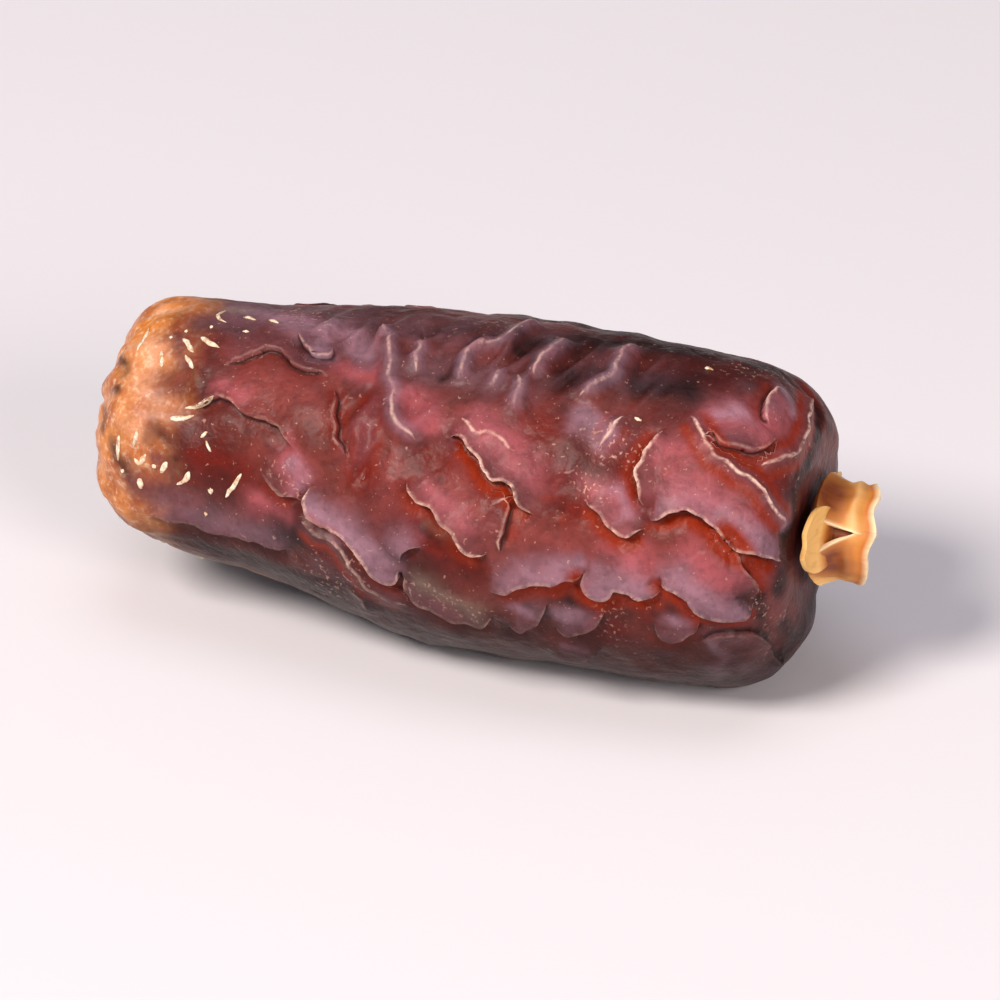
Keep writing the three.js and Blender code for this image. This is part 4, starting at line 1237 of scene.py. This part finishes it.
def dry_calyx_leaf(colours):
    """Dried calyx leaves: papery and fibrous, straw gold, brown in the hollows, partly as painted shade, with
    thin pale edges.
    """
    material = blank_material("Dry calyx leaf")
    tree = material.node_tree
    along, side, hollow, free_edge = (
        add(tree, "ShaderNodeAttribute", {}, "Fac", attribute_name=name)
        for name in ("along", "side", "hollow", "free_edge")
    )
    place = add(tree, "ShaderNodeTexCoord", {}, "Object")
    # Fibres run down the leaf, about 0.3 mm apart, and blotches are about 1 mm
    across_leaf = add(tree, "ShaderNodeMath", {0: side, 1: 9.0}, operation="MULTIPLY")
    fibre_place = add(tree, "ShaderNodeCombineXYZ", {"X": across_leaf, "Y": along})
    fibres = add(tree, "ShaderNodeTexNoise", {"Vector": fibre_place, "Scale": 1.0, "Detail": 3.0})
    cloudy = add(tree, "ShaderNodeTexNoise", {
        "Vector": place, "Scale": 1 / (1.1 * MM), "Detail": 2.0, "Distortion": 0.5})
    colour = add(tree, "ShaderNodeValToRGB", {"Fac": along}, stops=(
        (0.0, colours.leaf_edge), (1.0, colours.leaf), (0.12, colours.leaf_dark), (0.4, colours.leaf),
        (0.8, colours.leaf)))
    for value, low, high, most, layer in (
        # Brown in the hollows: partly the leaves' own colour, partly painted shade
        (hollow, 0.02, 0.4, 0.8, colours.leaf_dark), (hollow, 0.25, 0.85, 0.9, colours.leaf_hollow_shade),
        (fibres, 0.5, 0.36, 0.2, colours.leaf_dark),
        (cloudy, 0.56, 0.72, 0.3, colours.leaf_dark), (free_edge, 0, 1, 0.9, colours.leaf_edge),
    ):
        share = add(tree, "ShaderNodeMapRange", {
            "Value": value, "From Min": low, "From Max": high, "To Max": most})
        colour = add(tree, "ShaderNodeMix", {"Factor": share, 6: colour, 7: layer}, 2, data_type="RGBA")
    bump = add(tree, "ShaderNodeBump", {"Height": fibres, "Strength": 0.15, "Distance": 0.05 * MM})
    shader = add(tree, "ShaderNodeBsdfPrincipled", {
        "Base Color": colour, "Roughness": 0.5, "Normal": bump,
        "Subsurface Weight": 0.1, "Subsurface Radius": (1.0, 0.5, 0.2), "Subsurface Scale": 0.4 * MM,
    })
    add(tree, "ShaderNodeOutputMaterial", {"Surface": shader}, None)
    return material


def matt_paper(colours):
    """Matt studio background paper: it gives the eye an even pale ground with no gloss or grain."""
    material = blank_material("Matt studio paper")
    tree = material.node_tree
    shader = add(tree, "ShaderNodeBsdfPrincipled", {"Base Color": colours.paper, "Roughness": 0.9})
    add(tree, "ShaderNodeOutputMaterial", {"Surface": shader}, None)
    return material


# Stage

# The camera's distance from the date, the width it sees there and the floor's side, in metres, and its
# sensor's width in millimetres
CAMERA_DISTANCE = 0.5
FRAME_WIDTH = 0.0563
FLOOR_SIZE = 8
SENSOR_WIDTH = 36
SIGHT = Vector((math.sin(VIEW_TURN) * math.cos(VIEW_RISE), -math.cos(VIEW_TURN) * math.cos(VIEW_RISE),
                math.sin(VIEW_RISE)))
AIM = Vector((0.81, -0.1, 8.4)) * MM


def aim_at(thing, target):
    thing.rotation_euler = (target - thing.location).to_track_quat("-Z", "Y").to_euler()


def add_softbox(name, place, size, power, colour):
    data = bpy.data.lights.new(name, "AREA")
    data.shape = "DISK"
    data.size = size
    data.energy = power
    data.color = linear(colour)[:3]
    lamp = bpy.data.objects.new(name, data)
    bpy.context.collection.objects.link(lamp)
    lamp.location = place
    aim_at(lamp, AIM)


def make_stage(stage, colours):
    deselect_all()
    bpy.ops.mesh.primitive_plane_add(size=FLOOR_SIZE)
    floor = bpy.context.object
    floor.name = "floor"
    floor.data.materials.append(matt_paper(colours))
    for name, place, size, power, colour in (
        ("key", (-0.25, -0.42, 0.5), 0.26, stage.key_power, "#fff4ec"),
        ("side", (0.42, -0.42, 0.32), 0.26, stage.side_power, "#fff2ee"),
        ("top", (0.0, 0.05, 0.8), 0.5, stage.top_power, "#f6f4ff"),
    ):
        add_softbox(name, Vector(place), size, power, colour)
    world = bpy.data.worlds.new("Studio")
    world.use_nodes = True
    background = world.node_tree.nodes["Background"]
    background.inputs["Color"].default_value = linear("#f2f2fa")
    background.inputs["Strength"].default_value = stage.room_light
    bpy.context.scene.world = world
    camera = bpy.data.objects.new("camera", bpy.data.cameras.new("camera"))
    bpy.context.collection.objects.link(camera)
    camera.data.sensor_width = SENSOR_WIDTH
    camera.data.lens = SENSOR_WIDTH * CAMERA_DISTANCE / FRAME_WIDTH
    camera.location = AIM + SIGHT * CAMERA_DISTANCE
    aim_at(camera, AIM)
    bpy.context.scene.camera = camera
    bpy.context.scene.view_settings.view_transform = "Standard"


# The add-on


def tone(name, description, hex_colour):
    """A colour to set in the sidebar, given as sRGB hex."""
    return bpy.props.FloatVectorProperty(
        name=name, description=description, size=4, subtype="COLOR", min=0, max=1,
        default=linear(hex_colour))


class DateShape(bpy.types.PropertyGroup):
    """Sizes of the visible pieces."""

    columns: bpy.props.IntProperty(
        name="Skin columns", description="Points around the fruit", default=340, min=60, max=400)
    rows: bpy.props.IntProperty(
        name="Skin rows", description="Rows of points from tip to stalk end", default=294, min=60, max=400)
    leaf_thickness: bpy.props.FloatProperty(
        name="Leaf thickness", description="Thickness of the calyx's leaves", default=0.28 * MM, min=0.0001,
        precision=5, unit="LENGTH")
    fleck_seed: bpy.props.IntProperty(
        name="Fleck seed", description="Draw that places the flecks on the tip's hidden sides", default=7)
    hidden_flecks: bpy.props.IntProperty(
        name="Hidden flecks", description="Flecks on the tip's hidden sides", default=34, min=0, max=200)


class DateColours(bpy.types.PropertyGroup):
    """Colours of the skin, flecks, calyx and floor."""

    skin: tone("Skin", "Bare skin", "#4e1814")
    skin_light: tone("Light skin", "Bare skin, where it is thinner", "#78352e")
    mauve: tone("Mauve", "Skin under a thin film", "#644247")
    russet: tone("Russet", "Flat plates of skin in the shade", "#8c403c")
    rose: tone("Rose", "Flat plates of skin", "#ac565c")
    ruddy: tone("Ruddy", "Clear skin over dark flesh", "#701608")
    # Grey bloom on the skin, also laid on as a painted sheen
    bloom_and_sheen: tone("Film", "Dry film on the skin", "#a47c8c")
    dark: tone("Dark", "Darkest skin", "#1a0604")
    olive: tone("Olive", "Dull spots", "#847464")
    glow: tone("Crease glow", "Skin in the creases, lit through", "#8c2606")
    shade: tone("Crease shade", "Foot of the creases", "#240502")
    # Partly the folds' dry pale edges, partly a painted highlight on them
    rim: tone("Fold rim", "Dry edges of the folds", "#f4cab8")
    # Sugary specks, partly painted glints
    sugar_and_glint: tone("Sugar", "Specks of sugar", "#dcaa98")
    tip: tone("Tip", "Skin at the tip", "#b26030")
    tip_light: tone("Light tip", "Light blotches at the tip", "#de9258")
    amber: tone("Amber", "Amber patches at the tip", "#ea8c2e")
    cream: tone("Cream", "Palest patches at the tip", "#eeaa80")
    umber: tone("Umber", "Dark spots at the tip", "#42200c")
    plum: tone("Plum", "Purple patches at the tip", "#623c44")
    fleck_light: tone("Light fleck", "Dry flesh in the cracks", "#fff0d4")
    fleck_dark: tone("Dark fleck", "Duller flesh in the cracks", "#c8905e")
    leaf: tone("Leaf", "Calyx leaves", "#fac676")
    leaf_dark: tone("Dark leaf", "Blotches on the calyx leaves", "#c4701c")
    # Partly painted shade in the leaves' hollows and in the cup
    leaf_hollow_shade: tone("Leaf hollow", "Hollows of the calyx leaves", "#742a06")
    leaf_edge: tone("Leaf edge", "Thin edges of the calyx leaves", "#ffe8bc")
    paper: tone("Paper", "Floor", "#f1eff4")


class DateStage(bpy.types.PropertyGroup):
    """Strength of the lights."""

    key_power: bpy.props.FloatProperty(
        name="Key light", description="Power of the light in front", default=4.2, min=0, unit="POWER")
    side_power: bpy.props.FloatProperty(
        name="Side light", description="Power of the light at the stalk end", default=2.0, min=0,
        unit="POWER")
    top_power: bpy.props.FloatProperty(
        name="Top light", description="Power of the light overhead", default=1.1, min=0, unit="POWER")
    room_light: bpy.props.FloatProperty(
        name="Room light", description="Strength of the even light all round", default=0.17, min=0)


class DATE_OT_skin(bpy.types.Operator):
    """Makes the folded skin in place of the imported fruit"""

    bl_idname = "date.make_skin"
    bl_label = "Make skin"

    def execute(self, context):
        piece = make_skin(context.scene.date_shape)
        finish_piece(piece, "skin", dried_date_skin(context.scene.date_colours), "skin", "fruit")
        return {"FINISHED"}


class DATE_OT_flecks(bpy.types.Operator):
    """Makes the pale flecks at the tip"""

    bl_idname = "date.make_flecks"
    bl_label = "Make tip flecks"

    def execute(self, context):
        piece = make_flecks(context.scene.date_shape)
        finish_piece(piece, "tip_flecks", dry_pale_flesh(context.scene.date_colours), "skin")
        return {"FINISHED"}


class DATE_OT_calyx(bpy.types.Operator):
    """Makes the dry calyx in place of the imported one"""

    bl_idname = "date.make_calyx"
    bl_label = "Make calyx"

    def execute(self, context):
        piece = make_calyx(context.scene.date_shape)
        finish_piece(piece, "calyx_leaves", dry_calyx_leaf(context.scene.date_colours), "dry_calyx", "calyx")
        return {"FINISHED"}


class DATE_OT_stage(bpy.types.Operator):
    """Sets the pale floor, the soft lights and the camera"""

    bl_idname = "date.make_stage"
    bl_label = "Make stage"

    def execute(self, context):
        make_stage(context.scene.date_stage, context.scene.date_colours)
        return {"FINISHED"}


class DATE_PT_pieces(bpy.types.Panel):
    """Lists the date's sizes and the steps that build it"""

    bl_label = "Dried date"
    bl_space_type = "VIEW_3D"
    bl_region_type = "UI"
    bl_category = "Date"

    def draw(self, context):
        for group in (context.scene.date_shape, context.scene.date_colours, context.scene.date_stage):
            for name in group.__annotations__:
                self.layout.prop(group, name)
        for step in STEPS:
            self.layout.operator(step.bl_idname)


STEPS = (DATE_OT_skin, DATE_OT_flecks, DATE_OT_calyx, DATE_OT_stage)
CLASSES = (DateShape, DateColours, DateStage, *STEPS, DATE_PT_pieces)


def register():
    for each in CLASSES:
        bpy.utils.register_class(each)
    bpy.types.Scene.date_shape = bpy.props.PointerProperty(type=DateShape)
    bpy.types.Scene.date_colours = bpy.props.PointerProperty(type=DateColours)
    bpy.types.Scene.date_stage = bpy.props.PointerProperty(type=DateStage)


def unregister():
    del bpy.types.Scene.date_stage
    del bpy.types.Scene.date_colours
    del bpy.types.Scene.date_shape
    for each in reversed(CLASSES):
        bpy.utils.unregister_class(each)


def main():
    register()
    bpy.ops.date.make_skin()
    bpy.ops.date.make_flecks()
    bpy.ops.date.make_calyx()
    bpy.ops.date.make_stage()


if __name__ == "__main__":
    main()
